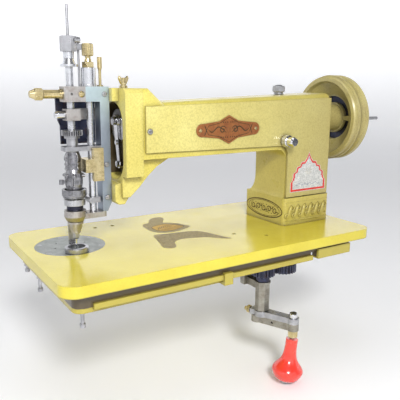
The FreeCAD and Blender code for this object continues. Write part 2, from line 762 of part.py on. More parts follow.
def make_hub_nut():
    """Dark disc that closes the windows from behind, with a knurled nut on the shaft's end."""
    x0 = web1
    disc = fuse(cyl_x(backing_r - 1.0, x0, x0 + backing_thickness, 0, shaft_z),
                cyl_x(backing_r, x0 + 1, x0 + backing_thickness - 1, 0, shaft_z))
    nut = put(knurled(15.0, 8.0, 36), x0 + backing_thickness, 0, shaft_z, "+x")
    bore = cyl_x(shaft_r + seated, x0 - 1, x0 + backing_thickness + shaft_in_nut + 0.2, 0, shaft_z)
    return fuse(disc, nut).cut(bore)


# ---------------------------------------------------------------- upright frame of the head
def make_frame():
    frame = prism_y([(block_right, frame_high - frame_arm), (bar_left, frame_high - frame_arm),
                     (bar_left, frame_low), (frame_face - 5, frame_low), (frame_face, frame_low + 10),
                     (frame_face, frame_high), (block_right, frame_high)], -frame_half, frame_half)
    frame = frame.cut(cyl_z(presser_r + running, frame_high - frame_arm - 1, frame_high + 1, presser_x, 0))
    frame = frame.cut(cyl_z(1.6 + seated, frame_high - 6, frame_high + 1, lift_x, 0))
    for x, z in frame_screws:
        frame = frame.cut(cyl_y(frame_screw_r + seated, -frame_half - 1, -frame_half + 6, x, z))
    return frame


def make_frame_screws():
    screws = []
    for x, z in frame_screws:
        screws.append(put(screw(2.8, 1.6, frame_screw_r, 5.5), x, -frame_half, z, "-y"))
    x, z, r, depth = cover_points[0]
    screws.append(put(screw(3.2, 1.8, r, depth), x, cover_front, z, "-y"))
    return screws


def make_top_block():
    z0, z1 = frame_high - frame_arm, frame_high
    block = box(block_left, block_right, -frame_half, frame_half, z0, z1)
    block = cut(block, cyl_z(bar_r + running, z0 - 1, z1 + 1),
                cyl_z(guide_rod_r + seated, z1 - 6, z1 + 1, rod_x, rod_y),
                cyl_y(1.4, -frame_half - 1, -frame_half + 2.5, -1.0, stud_z),
                cyl_y(1.6 + seated, -frame_half - 1, -frame_half + 3, brass_x, stud_z),
                cyl_x(2.5 + seated, block_left - 1, block_left + 3, 0, stud_z))
    return block


def make_block_screw():
    head = fuse(cyl_z(3.2, 0, 1.2), cone_z(3.2, 1.8, 1.2, 2.4), cyl_z(1.6, -2.8, 0))
    return put(head, brass_x, -frame_half, stud_z, "-y")


def make_side_plate():
    """Dark plate behind the bars; its top reaches back to the side of the head casting."""
    left = block_left - 2
    right = bar_left + 3
    top = frame_high - 5
    tail = frame_face + 6
    outline = [(left, top), (tail, top), (tail, top - 9), (right, top - 13), (right, plate_high + 1),
               (left + 4, plate_high + 1), (left + 4, gear_high + 4), (left, gear_high + 14)]
    return prism_y(outline, head_half, head_half + 2.5)


def make_cross_plate():
    plate = box(block_left - 2, bar_left, -frame_half, frame_half, plate_low, plate_high)
    plate = plate.makeFillet(2.0, edges_where(plate, lambda a, b: abs(a.z - b.z) > 1 and a.x < block_left))
    return cut(plate, cyl_z(tube_r + running, plate_low - 1, plate_high + 1),
               cyl_z(presser_r + running, plate_low - 1, plate_high + 1, presser_x, 0))


def make_presser_guide():
    """Brass guide: a tall plate in front, with a short block bored for the presser bar."""
    front = -frame_half - 5
    tall = box(bar_left - 11.3, bar_left + 0.4, front, -frame_half, 80, plate_high - 2)
    block = box(9.6, bar_left, front, presser_r + 2.5, 90, 104.5)
    guide = fuse(tall, block)
    return cut(guide, cyl_z(presser_r + running, 79, 120, presser_x, 0))


def make_lower_bracket():
    """Bearing under the frame: a boss round the feed tube and an arm below the bar."""
    boss = fuse(cone_z(boss_bottom_r, boss_top_r, boss_low, boss_low + 5),
                cyl_z(boss_top_r, boss_low + 5, boss_high))
    arm = box(0, frame_face - 6, -frame_half, frame_half, frame_low - 6, frame_low)
    arm = arm.makeFillet(3.0, edges_where(arm, lambda a, b: abs(a.z - b.z) > 1 and a.x > 10))
    bracket = fuse(boss, arm)
    return cut(bracket, cyl_z(tube_r + running, boss_low - 1, boss_high + 1),
               cyl_z(presser_r + running, frame_low - 7, frame_low + 1, presser_x, 0))


def make_spring_case():
    z0 = frame_high
    case = fuse(cyl_z(case_r + 0.4, z0, z0 + 2.5, presser_x, 0),
                cyl_z(case_r, z0 + 2.5, case_high, presser_x, 0))
    return cut(case, cyl_z(case_r - 1.8, z0 + 2, case_high - 3, presser_x, 0),
               cyl_z(presser_r + running, z0 - 1, z0 + 3, presser_x, 0),
               cyl_z(stem_r + running, case_high - 4, case_high + 1, presser_x, 0))


def make_case_nut():
    nut = prism_z(regular(6, 11.6), case_high, case_high + 6)
    nut.translate(Vector(presser_x, 0, 0))
    return nut.cut(cyl_z(stem_r + running, case_high - 1, case_high + 8, presser_x, 0))


def make_adjusting_screw():
    """Brass thumb screw that sets the presser spring."""
    head = put(knurled(6.2, 13.0, 26), 0, 0, 213.0)
    stem = fuse(cyl_z(stem_r, case_high - 4.5, 213.5), cone_z(4.0, 3.4, case_high + 6 + side_gap, 210))
    screw_body = fuse(head, stem)
    screw_body.translate(Vector(presser_x, 0, 0))
    return screw_body


def make_guide_rod():
    return cyl_z(guide_rod_r, frame_high - 5.8, collar_high, rod_x, rod_y)


def make_lift_pin():
    z = frame_high
    return put(fuse(cyl_z(1.6, -5.8, 20), cyl_z(3.4, 0, 1.6), cone_z(1.6, 2.6, 17, 20), cyl_z(2.6, 20, 31)),
               lift_x, 0, z)


def make_side_stud():
    """Brass tension stud that stands out to the left of the top block."""
    stud = fuse(cyl_z(2.5, -2.8, 0), cyl_z(5.4, 0, 2.5), cyl_z(4.6, 2.5, 20), cyl_z(2.6, 20, 33))
    return put(stud, block_left, 0, stud_z, "-x")


def make_side_nut():
    nut = fuse(knurled(6.3, 9.0, 26), cone_z(5.2, 3.4, 9.0, 13.5))
    nut = nut.cut(cyl_z(2.6 + running, -1, 13.2))
    return put(nut, block_left - 20.3, 0, stud_z, "-x")


# ---------------------------------------------------------------- needle bar
def make_needle_bar():
    bar = cyl_z(bar_r, clamp_high, collar_high)
    flange = fuse(cyl_z(9.2, 201.6, 204.0), cone_z(7.2, 5.0, 204.0, 210.0), cyl_z(5.6, 210.0, collar_low))
    bar = fuse(bar, flange)
    return cut(bar, cyl_z(1.6 + seated, collar_high - 10, collar_high + 1),
               cyl_z(1.2 + seated, clamp_high - 1, clamp_high + 6))


def make_thread_tube():
    return cyl_z(1.6, collar_high - 9.8, tube_top).cut(cyl_z(0.9, collar_high - 8, tube_top + 1))


def make_collar():
    """Hexagon collar with a lug that runs on the guide rod, and its clamp screw."""
    collar = prism_z(regular(6, 15.0, math.radians(30)), collar_low, collar_high)
    lug = box(6.5, rod_x + guide_rod_r + 1.4, rod_y - 2.8, rod_y + 2.8, collar_low + 2, collar_low + 8)
    screw_z = collar_high - 4
    screw_head = fuse(cyl_x(2.4, 5.0, 11.0, -4.6, screw_z), cyl_x(3.0, 8.6, 11.0, -4.6, screw_z))
    collar = fuse(collar, lug, screw_head)
    return cut(collar, cyl_z(bar_r + seated, collar_low - 1, collar_high + 1),
               cyl_z(guide_rod_r + running, collar_low - 1, collar_low + 9, rod_x, rod_y))


def make_driver():
    """Clamp on the needle bar with an arm that reaches back to the head casting."""
    block = box(-7, 8, -7, 7, driver_low, driver_high)
    arm = fuse(box(4, 9, 6, driver_y + 4.5, driver_low, driver_high),
               box(4, head_end + 0.6, driver_y, driver_y + 4.5, driver_low, driver_high))
    driver = fuse(block, arm)
    return cut(driver, cyl_z(bar_r + seated, driver_low - 1, driver_high + 1),
               cyl_x(2.0 + seated, -8, -bar_r - 0.6, 0, (driver_low + driver_high) / 2))


def make_driver_bolt():
    shank = driver_bolt_x + bar_r + 0.7
    bolt = fuse(cyl_z(4.5, 0, 9.0), cone_z(4.5, 3.2, 9.0, 11.0), cyl_z(2.0, shank, 0))
    return put(bolt, driver_bolt_x, 0, (driver_low + driver_high) / 2, "-x")


def make_needle_clamp():
    clamp = fuse(prism_z(regular(6, 6.6), clamp_low + 1.5, clamp_high),
                 cone_z(2.2, 3.2, clamp_low, clamp_low + 1.5))
    return clamp.cut(cyl_z(1.2 + seated, clamp_low - 1, clamp_high + 1))


def make_needle():
    return fuse(cyl_z(1.2, clamp_low - 2, clamp_high + 5), cyl_z(0.9, needle_tip + 5, clamp_low - 2),
                cone_z(0.25, 0.9, needle_tip, needle_tip + 5))


# ---------------------------------------------------------------- turning feed tube
def make_feed_tube():
    tube = fuse(cyl_z(tube_r, boss_low - 1, gear_high),
                cyl_z(9.0, boss_high + side_gap, 54.0), cyl_z(11.5, 54.0, 60.6))
    return tube.cut(cyl_z(bar_r + running, boss_low - 3, gear_high + 2))


def make_feed_gear():
    gear = prism_z(toothed(feed_teeth, gear_r - 2.2, gear_r, 0.4), gear_low, gear_high)
    gear = fuse(gear, cyl_z(8.2, gear_low - 3, gear_low))
    return gear.cut(cyl_z(tube_r + seated, gear_low - 4, gear_high + 1))


def make_claw_carrier():
    """Eight-sided carrier with three toothed claws above, small bolts and one control lever."""
    block = prism_z(regular(8, carrier_across, math.radians(22.5)), claw_low + 3, carrier_high)
    block = fuse(block, cone_z(8.8, 9.4, claw_low, claw_low + 3))
    neck = fuse(cone_z(8.6, 7.0, carrier_high, carrier_high + 4), cyl_z(7.0, carrier_high + 4, claw_high))
    lever = fuse(box(-15, -6, -1.5, 1.5, 78.5, 82), cyl_z(2.4, 77.5, 83, -14, 0))
    carrier = fuse(block, neck, lever)
    for k in range(4):
        groove = box(carrier_across / 2 - 1.3, 11, -0.9, 0.9, claw_low + 2, carrier_high + 1)
        groove.rotate(Vector(0, 0, 0), Vector(0, 0, 1), 90 * k + 67.5)
        carrier = carrier.cut(groove)
    for k in range(claws):
        turn = 360 / claws * (k + 0.5)
        claw = prism_y([(tube_r + 0.6, 92), (7.6, 92), (9.1, 94), (8.0, 96.5), (9.1, 99), (8.0, 101.5),
                        (9.1, 104), (9.1, 107), (7.2, 111), (tube_r + 0.6, 111)], -2.6, 2.6)
        claw.rotate(Vector(0, 0, 0), Vector(0, 0, 1), turn)
        bolts = [cyl_x(1.6, 8.0, 11.4, side * 4.6, 86.5) for side in (-1, 1)]
        for bolt in bolts:
            bolt.rotate(Vector(0, 0, 0), Vector(0, 0, 1), turn + 50)
        carrier = fuse(carrier, claw, *bolts)
    return carrier.cut(cyl_z(tube_r + seated, claw_low - 1, claw_high + 1))


def make_ring_flange():
    ring = fuse(cyl_z(foot_r - 0.8, flange_low, flange_low + 2), cyl_z(foot_r, flange_low + 2, flange_high))
    ring = ring.cut(cyl_z(foot_r - 2.5, flange_high - 3, flange_high + 1))
    ring = fuse(ring, cyl_z(8.6, flange_low, claw_low))
    return ring.cut(cyl_z(tube_r + seated, flange_low - 1, claw_low + 1))


def make_nipple():
    """Cone under the lower bearing; the needle bar slides through it."""
    nipple = fuse(cyl_z(8.6, 32.5, boss_low - 1), cone_z(6.6, 7.9, 26, 32.5), cone_z(5.3, 5.6, 22.3, 26))
    return nipple.cut(cyl_z(bar_r + running, 20, boss_low + 1))


# ---------------------------------------------------------------- presser bar and foot
def make_presser_bar():
    return cyl_z(presser_r, frame_low - 7, frame_high + 4, presser_x, 0)


def make_presser_bracket():
    """Clamp on the presser bar with an arm that passes behind the feed tube."""
    back = strap_y + strap_thickness
    clamp = box(presser_x - 5.6, presser_x + 6.5, -6.5, 6.5, bracket_low, bracket_high)
    side = box(presser_x - 4.5, presser_x + 1.5, 6, back + 5, bracket_low, bracket_high)
    rear = box(-5, presser_x + 1.5, back, back + 5, bracket_low, bracket_high)
    bracket = fuse(clamp, side, rear)
    return cut(bracket, cyl_z(presser_r + seated, bracket_low - 1, bracket_high + 1, presser_x, 0))


def make_ring_foot():
    """Ring-shaped presser foot on an upright strap behind the needle."""
    ring = fuse(cyl_z(foot_r, 0.3, foot_height - 1),
                cone_z(foot_r, foot_r - 1, foot_height - 1, foot_height))
    ring = ring.cut(cyl_z(foot_r - 3.6, -1, foot_height + 1))
    strap = box(-3.6, 3.4, strap_y, strap_y + strap_thickness, 1.0, bracket_high)
    tab = box(-3.6, 3.4, foot_r - 2.5, strap_y + 1, 1.0, foot_height - 2)
    return fuse(ring, strap, tab)


# ---------------------------------------------------------------- crank under the bed
def make_crank_bracket():
    """Hanger under the bed: flange, web, eight-sided bearing housing and the idler's stud."""
    x, y = crank_x, crank_y
    flange = box(x - 18, idler_x + 10, y - 9, y + 32, -bed_web - 5, -bed_web)
    web = box(x - 12, x + 12, y + 22, y + 30, housing_high - 10, -bed_web - 1)
    lug = box(x - 7, x + 7, y, y + 26, housing_high - 10, housing_high - 1)
    housing = prism_z(regular(8, housing_flats, math.radians(22.5)), housing_low, housing_high)
    housing.translate(Vector(x, y, 0))
    collar = cyl_z(housing_flats / 2 + 1.2, housing_high - 2, housing_high, x, y)
    hanger = fuse(flange, web, lug, housing, collar)
    hanger = cut(hanger, cyl_z(crank_r + running, housing_low - 1, 0, x, y))
    gear_low_z = gear_top - gear_face
    stud = fuse(cyl_z(stud_r, gear_low_z - side_gap - 1, -bed_web - 4, idler_x, y),
                cyl_z(stud_r + 2, gear_low_z - side_gap - 3, gear_low_z - side_gap, idler_x, y),
                cyl_z(stud_r + 3, gear_top + side_gap, -bed_web - 4, idler_x, y))
    return fuse(hanger, stud)


def make_crank_shaft():
    shaft = cyl_z(crank_r, arm_low, -bed_web - 1, crank_x, crank_y)
    cap = cyl_z(8.4, housing_high + side_gap, gear_top - gear_face, crank_x, crank_y)
    return fuse(shaft, cap)


def make_spur(count, bore, start, x, y):
    pitch_r = tooth_module * count / 2
    gear = prism_z(toothed(count, pitch_r - 0.95 * tooth_module, pitch_r + 0.5 * tooth_module, 0.36, start),
                   gear_top - gear_face, gear_top)
    gear = gear.cut(cyl_z(bore, gear_top - gear_face - 1, gear_top + 1))
    gear.translate(Vector(x, y, 0))
    return gear


def make_crank_gear():
    return make_spur(crank_teeth, crank_r + seated, 0.0, crank_x, crank_y)


def make_idler_gear():
    half_pitch = math.pi / idler_teeth
    return make_spur(idler_teeth, stud_r + running, math.pi + half_pitch, idler_x, crank_y)


def along_crank(shape):
    """Bring a piece made along +X from the crank's axis to the arm's resting angle."""
    shape.rotate(Vector(0, 0, 0), Vector(0, 0, 1), crank_angle)
    shape.translate(Vector(crank_x, crank_y, 0))
    return shape


def make_crank_arm():
    arm = fuse(cyl_z(9.5, arm_low, arm_top), box(-14, 0, -6, 6, arm_low, arm_top),
               prism_z([(0, -6.5), (crank_length, -5.5), (crank_length, 5.5), (0, 6.5)], arm_low, arm_top),
               cyl_z(7.0, arm_low, arm_top, crank_length, 0))
    arm = cut(arm, cyl_z(crank_r + seated, arm_low - 1, arm_top + 1),
              cyl_z(bolt_r + seated, arm_low - 1, arm_top + 1, crank_length, 0),
              cyl_x(2.0 + running, -15, -crank_r + 1, 0, (arm_top + arm_low) / 2))
    return along_crank(arm)


def make_crank_link():
    """Slotted lower link under the arm, with a ring at its inner end."""
    link = fuse(cyl_z(7.0, link_low, arm_low, crank_length, 0),
                box(-5, crank_length, -5.5, 5.5, link_low, arm_low), cyl_z(7.5, link_low, arm_low, -6, 0))
    slot = box(4, 27, -2.2, 2.2, link_low - 1, arm_low + 1)
    link = cut(link, slot, cyl_z(3.2, link_low - 1, arm_low + 1, -6, 0),
               cyl_y(1.6, -8, 8, 17, (link_low + arm_low) / 2),
               cyl_z(bolt_r + seated, link_low - 1, arm_low + 1, crank_length, 0))
    return along_crank(link)


def lean(shape):
    """Tip a piece made below the crank's end towards the left, as the spindle is bent."""
    shape.rotate(Vector(0, 0, nut_low), Vector(0, 1, 0), knob_lean)
    end = math.radians(crank_angle)
    shape.translate(Vector(crank_x + crank_length * math.cos(end),
                           crank_y + crank_length * math.sin(end), 0))
    return shape


def make_bolt():
    """Cap bolt through arm, link and nut; its bent lower end carries the knob on a slotted head."""
    head = fuse(cyl_z(5.2, arm_top, arm_top + 5), cone_z(5.2, 4.2, arm_top + 5, arm_top + 6))
    straight = along_crank(put(fuse(head, cyl_z(bolt_r, nut_low, arm_top)), crank_length, 0, 0))
    ball = Part.makeSphere(bolt_r, Vector(0, 0, nut_low))
    low = knob_top - knob_height
    cap = fuse(cyl_z(6.0, low - 2.6, low - side_gap), cone_z(4.8, 6.0, low - 3.6, low - 2.6))
    cap = cap.cut(box(-7, 7, -0.6, 0.6, low - 5, low - 2.6))
    spindle = fuse(cyl_z(spindle_r, low - 1, nut_low), ball, cap)
    return fuse(straight, lean(spindle))


def make_nut():
    nut = prism_z(regular(6, 11.0), nut_low + 0.2, link_low)
    nut = nut.cut(cyl_z(bolt_r + seated, nut_low - 1, link_low + 1))
    nut.translate(Vector(crank_length, 0, 0))
    return along_crank(nut)


def make_knob():
    """Turned handle: slim neck, swelling to a bulb near its lower end."""
    start = knob_top
    rs = [(knob_neck, 0), (knob_neck, -8), (knob_neck + 0.7, -18), (10.2, -26), (15.4, -33), (knob_r, -40),
          (knob_r - 1.6, -45), (14.0, -50), (10.0, -knob_height)]
    curve = Part.BSplineCurve()
    curve.interpolate([Vector(r, 0, start + z) for r, z in rs])
    bore = spindle_r + running
    low = start - knob_height
    straight = [Part.makeLine(Vector(10.0, 0, low), Vector(bore, 0, low)),
                Part.makeLine(Vector(bore, 0, low), Vector(bore, 0, start)),
                Part.makeLine(Vector(bore, 0, start), Vector(knob_neck, 0, start))]
    face = Part.Face(Part.Wire([curve.toShape()] + straight))
    return lean(face.revolve(Vector(0, 0, 0), Vector(0, 0, 1), 360))


def make_thumb_screw():
    z = (arm_top + arm_low) / 2
    thumb = fuse(cyl_z(2.0, -7.5, 2.0), put(knurled(5.0, 5.0, 22), 0, 0, 1.0), cyl_z(2.6, 6.0, 9.0))
    return along_crank(put(thumb, -14.0 - side_gap, 0, z, "-x"))


# ---------------------------------------------------------------- write every piece
save("bed", make_bed())
save("rest_pins", *make_rest_pins())
save("needle_plate", make_needle_plate())
save("plate_screws", *make_plate_screws())
save("arm_casting", make_arm())
save("cover_plate", make_cover())
save("badge", make_badge())
save("cover_knob", make_cover_knob())
save("oil_cap", make_oil_cap())
save("head_casting", make_head())
save("wing_screw", make_wing_screw())
save("bushings", *make_bushings())
save("main_shaft", make_main_shaft())
save("crank_disc", make_disc())
save("connecting_rod", make_rod())
save("handwheel", make_handwheel())
save("handwheel_peg", make_peg())
save("hub_nut", make_hub_nut())
save("upright_shaft", make_upright_shaft())
save("lower_shaft", make_lower_shaft())
save("head_frame", make_frame())
save("steel_screws", *make_frame_screws())
save("top_block", make_top_block())
save("brass_fasteners", make_block_screw(), *make_rivets())
save("side_plate", make_side_plate())
save("cross_plate", make_cross_plate())
save("presser_guide", make_presser_guide())
save("lower_bracket", make_lower_bracket())
save("spring_case", make_spring_case())
save("case_nut", make_case_nut())
save("adjusting_screw", make_adjusting_screw())
save("guide_rod", make_guide_rod())
save("lift_pin", make_lift_pin())
save("side_stud", make_side_stud())
save("side_nut", make_side_nut())
save("needle_bar", make_needle_bar())
save("thread_tube", make_thread_tube())
save("bar_collar", make_collar())
save("needle_driver", make_driver())
save("driver_bolt", make_driver_bolt())
save("needle_clamp", make_needle_clamp())
save("needle", make_needle())
save("feed_tube", make_feed_tube())
save("feed_gear", make_feed_gear())
save("claw_carrier", make_claw_carrier())
save("ring_flange", make_ring_flange())
save("nipple", make_nipple())
save("presser_bar", make_presser_bar())
save("presser_bracket", make_presser_bracket())
save("ring_foot", make_ring_foot())
save("crank_bracket", make_crank_bracket())
save("crank_shaft", make_crank_shaft())
save("crank_gear", make_crank_gear())
save("idler_gear", make_idler_gear())
save("crank_arm", make_crank_arm())
save("crank_link", make_crank_link())
save("crank_bolt", make_bolt())
save("crank_nut", make_nut())
save("handle_knob", make_knob())
save("thumb_screw", make_thumb_screw())
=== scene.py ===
"""Looks of a hand-guided embroidery machine head: ochre enamel castings, bright steel, brass and a red knob.

Metres, in the part's own frame: the origin is where the needle meets the bed, +X runs along the arm to
the handwheel, +Y to the back of the bed and +Z up. Drawings on a face are in millimetres.
"""
import json
import math

import bmesh
import bpy
from mathutils import Matrix, Vector


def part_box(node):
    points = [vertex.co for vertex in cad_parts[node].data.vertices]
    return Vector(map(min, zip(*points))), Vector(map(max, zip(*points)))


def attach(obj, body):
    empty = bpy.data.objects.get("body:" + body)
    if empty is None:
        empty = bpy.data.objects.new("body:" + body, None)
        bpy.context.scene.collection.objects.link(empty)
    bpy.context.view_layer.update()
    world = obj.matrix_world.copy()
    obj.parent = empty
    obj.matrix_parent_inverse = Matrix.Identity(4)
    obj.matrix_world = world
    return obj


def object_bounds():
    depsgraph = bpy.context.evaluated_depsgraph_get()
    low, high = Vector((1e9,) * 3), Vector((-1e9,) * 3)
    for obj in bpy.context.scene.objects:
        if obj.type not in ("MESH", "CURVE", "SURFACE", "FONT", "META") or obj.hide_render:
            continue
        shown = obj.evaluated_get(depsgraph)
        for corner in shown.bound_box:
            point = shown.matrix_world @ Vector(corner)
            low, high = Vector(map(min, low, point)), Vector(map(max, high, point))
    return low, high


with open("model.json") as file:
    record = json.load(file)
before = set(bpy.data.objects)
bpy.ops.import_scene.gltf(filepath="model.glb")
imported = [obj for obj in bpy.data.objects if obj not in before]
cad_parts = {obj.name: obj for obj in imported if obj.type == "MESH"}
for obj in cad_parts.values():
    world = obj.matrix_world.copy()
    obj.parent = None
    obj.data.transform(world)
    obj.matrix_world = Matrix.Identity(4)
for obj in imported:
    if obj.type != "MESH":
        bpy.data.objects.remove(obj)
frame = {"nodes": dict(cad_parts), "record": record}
nodes = frame["nodes"]
cad_box = [list(corner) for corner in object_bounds()]
scene = bpy.context.scene
MM = 0.001
TURN = 2 * math.pi


# ---------------------------------------------------------------- camera, light and floor
LENS = 48.3                     # millimetres, on a film of the width below
FILM_WIDTH = 36.0
NEAR_CLIP = 0.01
CAMERA_AT = Vector((-0.1959, -0.5606, 0.1849))
AZIMUTH = math.radians(-32.7)   # 0 looks from the front, and less is from the left
ELEVATION = math.radians(12.2)
ROLL = math.radians(0.41)
FLOOR_GAP = 0.001               # the knob hangs this far above the floor
FLOOR_Z = cad_box[0][2] - FLOOR_GAP
MIDDLE = (Vector(cad_box[0]) + Vector(cad_box[1])) / 2
DAYLIGHT = (0.97, 0.98, 1.0, 1)
PAPER = (0.90, 0.90, 0.91, 1)
CARD_CLOTH = (0.12, 0.12, 0.14, 1)
WALL_GLOW = 0.66                # how strongly the backdrop's upright part shines
WORLD_LIGHT = 0.14
LAMPS = {                       # place from the machine's middle, diameter, watts
    "key": ((-0.50, -1.15, 0.80), 0.34, 18.0),
    "top": ((-0.2, 0.1, 1.7), 1.4, 8.0),
}
FLAG = ((1.3, -1.3, 0.3), 0.8, 1.6)     # place from the machine's middle, width, height


def make_camera():
    back = Vector((math.sin(AZIMUTH) * math.cos(ELEVATION), -math.cos(AZIMUTH) * math.cos(ELEVATION),
                   math.sin(ELEVATION)))
    right = Vector((0, 0, 1)).cross(back).normalized()
    up = back.cross(right)
    across = right * math.cos(ROLL) + up * math.sin(ROLL)
    above = up * math.cos(ROLL) - right * math.sin(ROLL)
    camera = bpy.data.objects.new("camera", bpy.data.cameras.new("camera"))
    scene.collection.objects.link(camera)
    camera.matrix_world = Matrix.Translation(CAMERA_AT) @ Matrix((across, above, back)).transposed().to_4x4()
    camera.data.lens = LENS
    camera.data.sensor_width = FILM_WIDTH
    camera.data.clip_start = NEAR_CLIP
    scene.camera = camera


def make_lamp(name, at, size, watts):
    lamp = bpy.data.lights.new(name, "AREA")
    lamp.shape = "DISK"
    lamp.size = size
    lamp.energy = watts
    holder = bpy.data.objects.new(name, lamp)
    scene.collection.objects.link(holder)
    aim_at_middle(holder, at)
    holder.visible_camera = False


def aim_at_middle(thing, at):
    """Put a lamp or card at a place counted from the machine's middle, facing the machine."""
    thing.location = MIDDLE + Vector(at)
    thing.rotation_euler = Vector(at).to_track_quat("Z", "Y").to_euler()


def make_stage():
    """A round pale floor whose edge curves up into a low wall, so that no horizon shows."""
    centre_r, floor_r, bend, wall, sides, steps = 0.6, 2.4, 0.8, 1.4, 96, 10
    profile = [(centre_r, 0.0), (floor_r, 0.0)]
    profile += [(floor_r + bend * math.sin(a), bend - bend * math.cos(a))
                for a in (math.pi / 2 * k / steps for k in range(1, steps + 1))]
    profile.append((floor_r + bend, bend + wall))
    mesh = bmesh.new()
    rings = []
    for r, z in profile:
        rings.append([mesh.verts.new((MIDDLE.x + r * math.cos(a), MIDDLE.y + r * math.sin(a), FLOOR_Z + z))
                      for a in angles(sides)])
    mesh.faces.new(rings[0])
    for low, high in zip(rings, rings[1:]):
        for k in range(sides):
            mesh.faces.new((low[k], high[k], high[(k + 1) % sides], low[(k + 1) % sides]))
    data = mesh_data("floor", mesh)
    data.shade_smooth()
    floor = bpy.data.objects.new("floor", data)
    scene.collection.objects.link(floor)
    shader = Shader("floor_paper", Roughness=0.9)
    shader.bsdf.inputs["Base Color"].default_value = PAPER
    shader.bsdf.inputs["Emission Color"].default_value = DAYLIGHT
    glow = shader.fade(shader.along("Z"), FLOOR_Z, FLOOR_Z + bend, 0.0, WALL_GLOW)
    shader.tree.links.new(glow, shader.bsdf.inputs["Emission Strength"])
    data.materials.append(shader.material)


def make_flag(name, at, width, height):
    """A dark card beside the camera. Only reflections see it, and it gives the bright metal its dark streaks."""
    mesh = bmesh.new()
    mesh.faces.new([mesh.verts.new((x * width / 2, y * height / 2, 0))
                    for x, y in ((-1, -1), (1, -1), (1, 1), (-1, 1))])
    data = mesh_data(name, mesh)
    card = bpy.data.objects.new(name, data)
    scene.collection.objects.link(card)
    aim_at_middle(card, at)
    shader = Shader("flag_cloth", Roughness=1.0)
    shader.bsdf.inputs["Base Color"].default_value = CARD_CLOTH
    data.materials.append(shader.material)
    for ray in ("camera", "diffuse", "shadow", "transmission", "volume_scatter"):
        setattr(card, "visible_" + ray, False)


def make_studio():
    make_camera()
    make_stage()
    for name, (at, size, watts) in LAMPS.items():
        make_lamp(name, at, size, watts)
    make_flag("flag_right", *FLAG)
    world = bpy.data.worlds.new("studio")
    world.use_nodes = True
    world.node_tree.nodes["Background"].inputs["Color"].default_value = DAYLIGHT
    world.node_tree.nodes["Background"].inputs["Strength"].default_value = WORLD_LIGHT
    scene.world = world
    scene.view_settings.view_transform = "Standard"


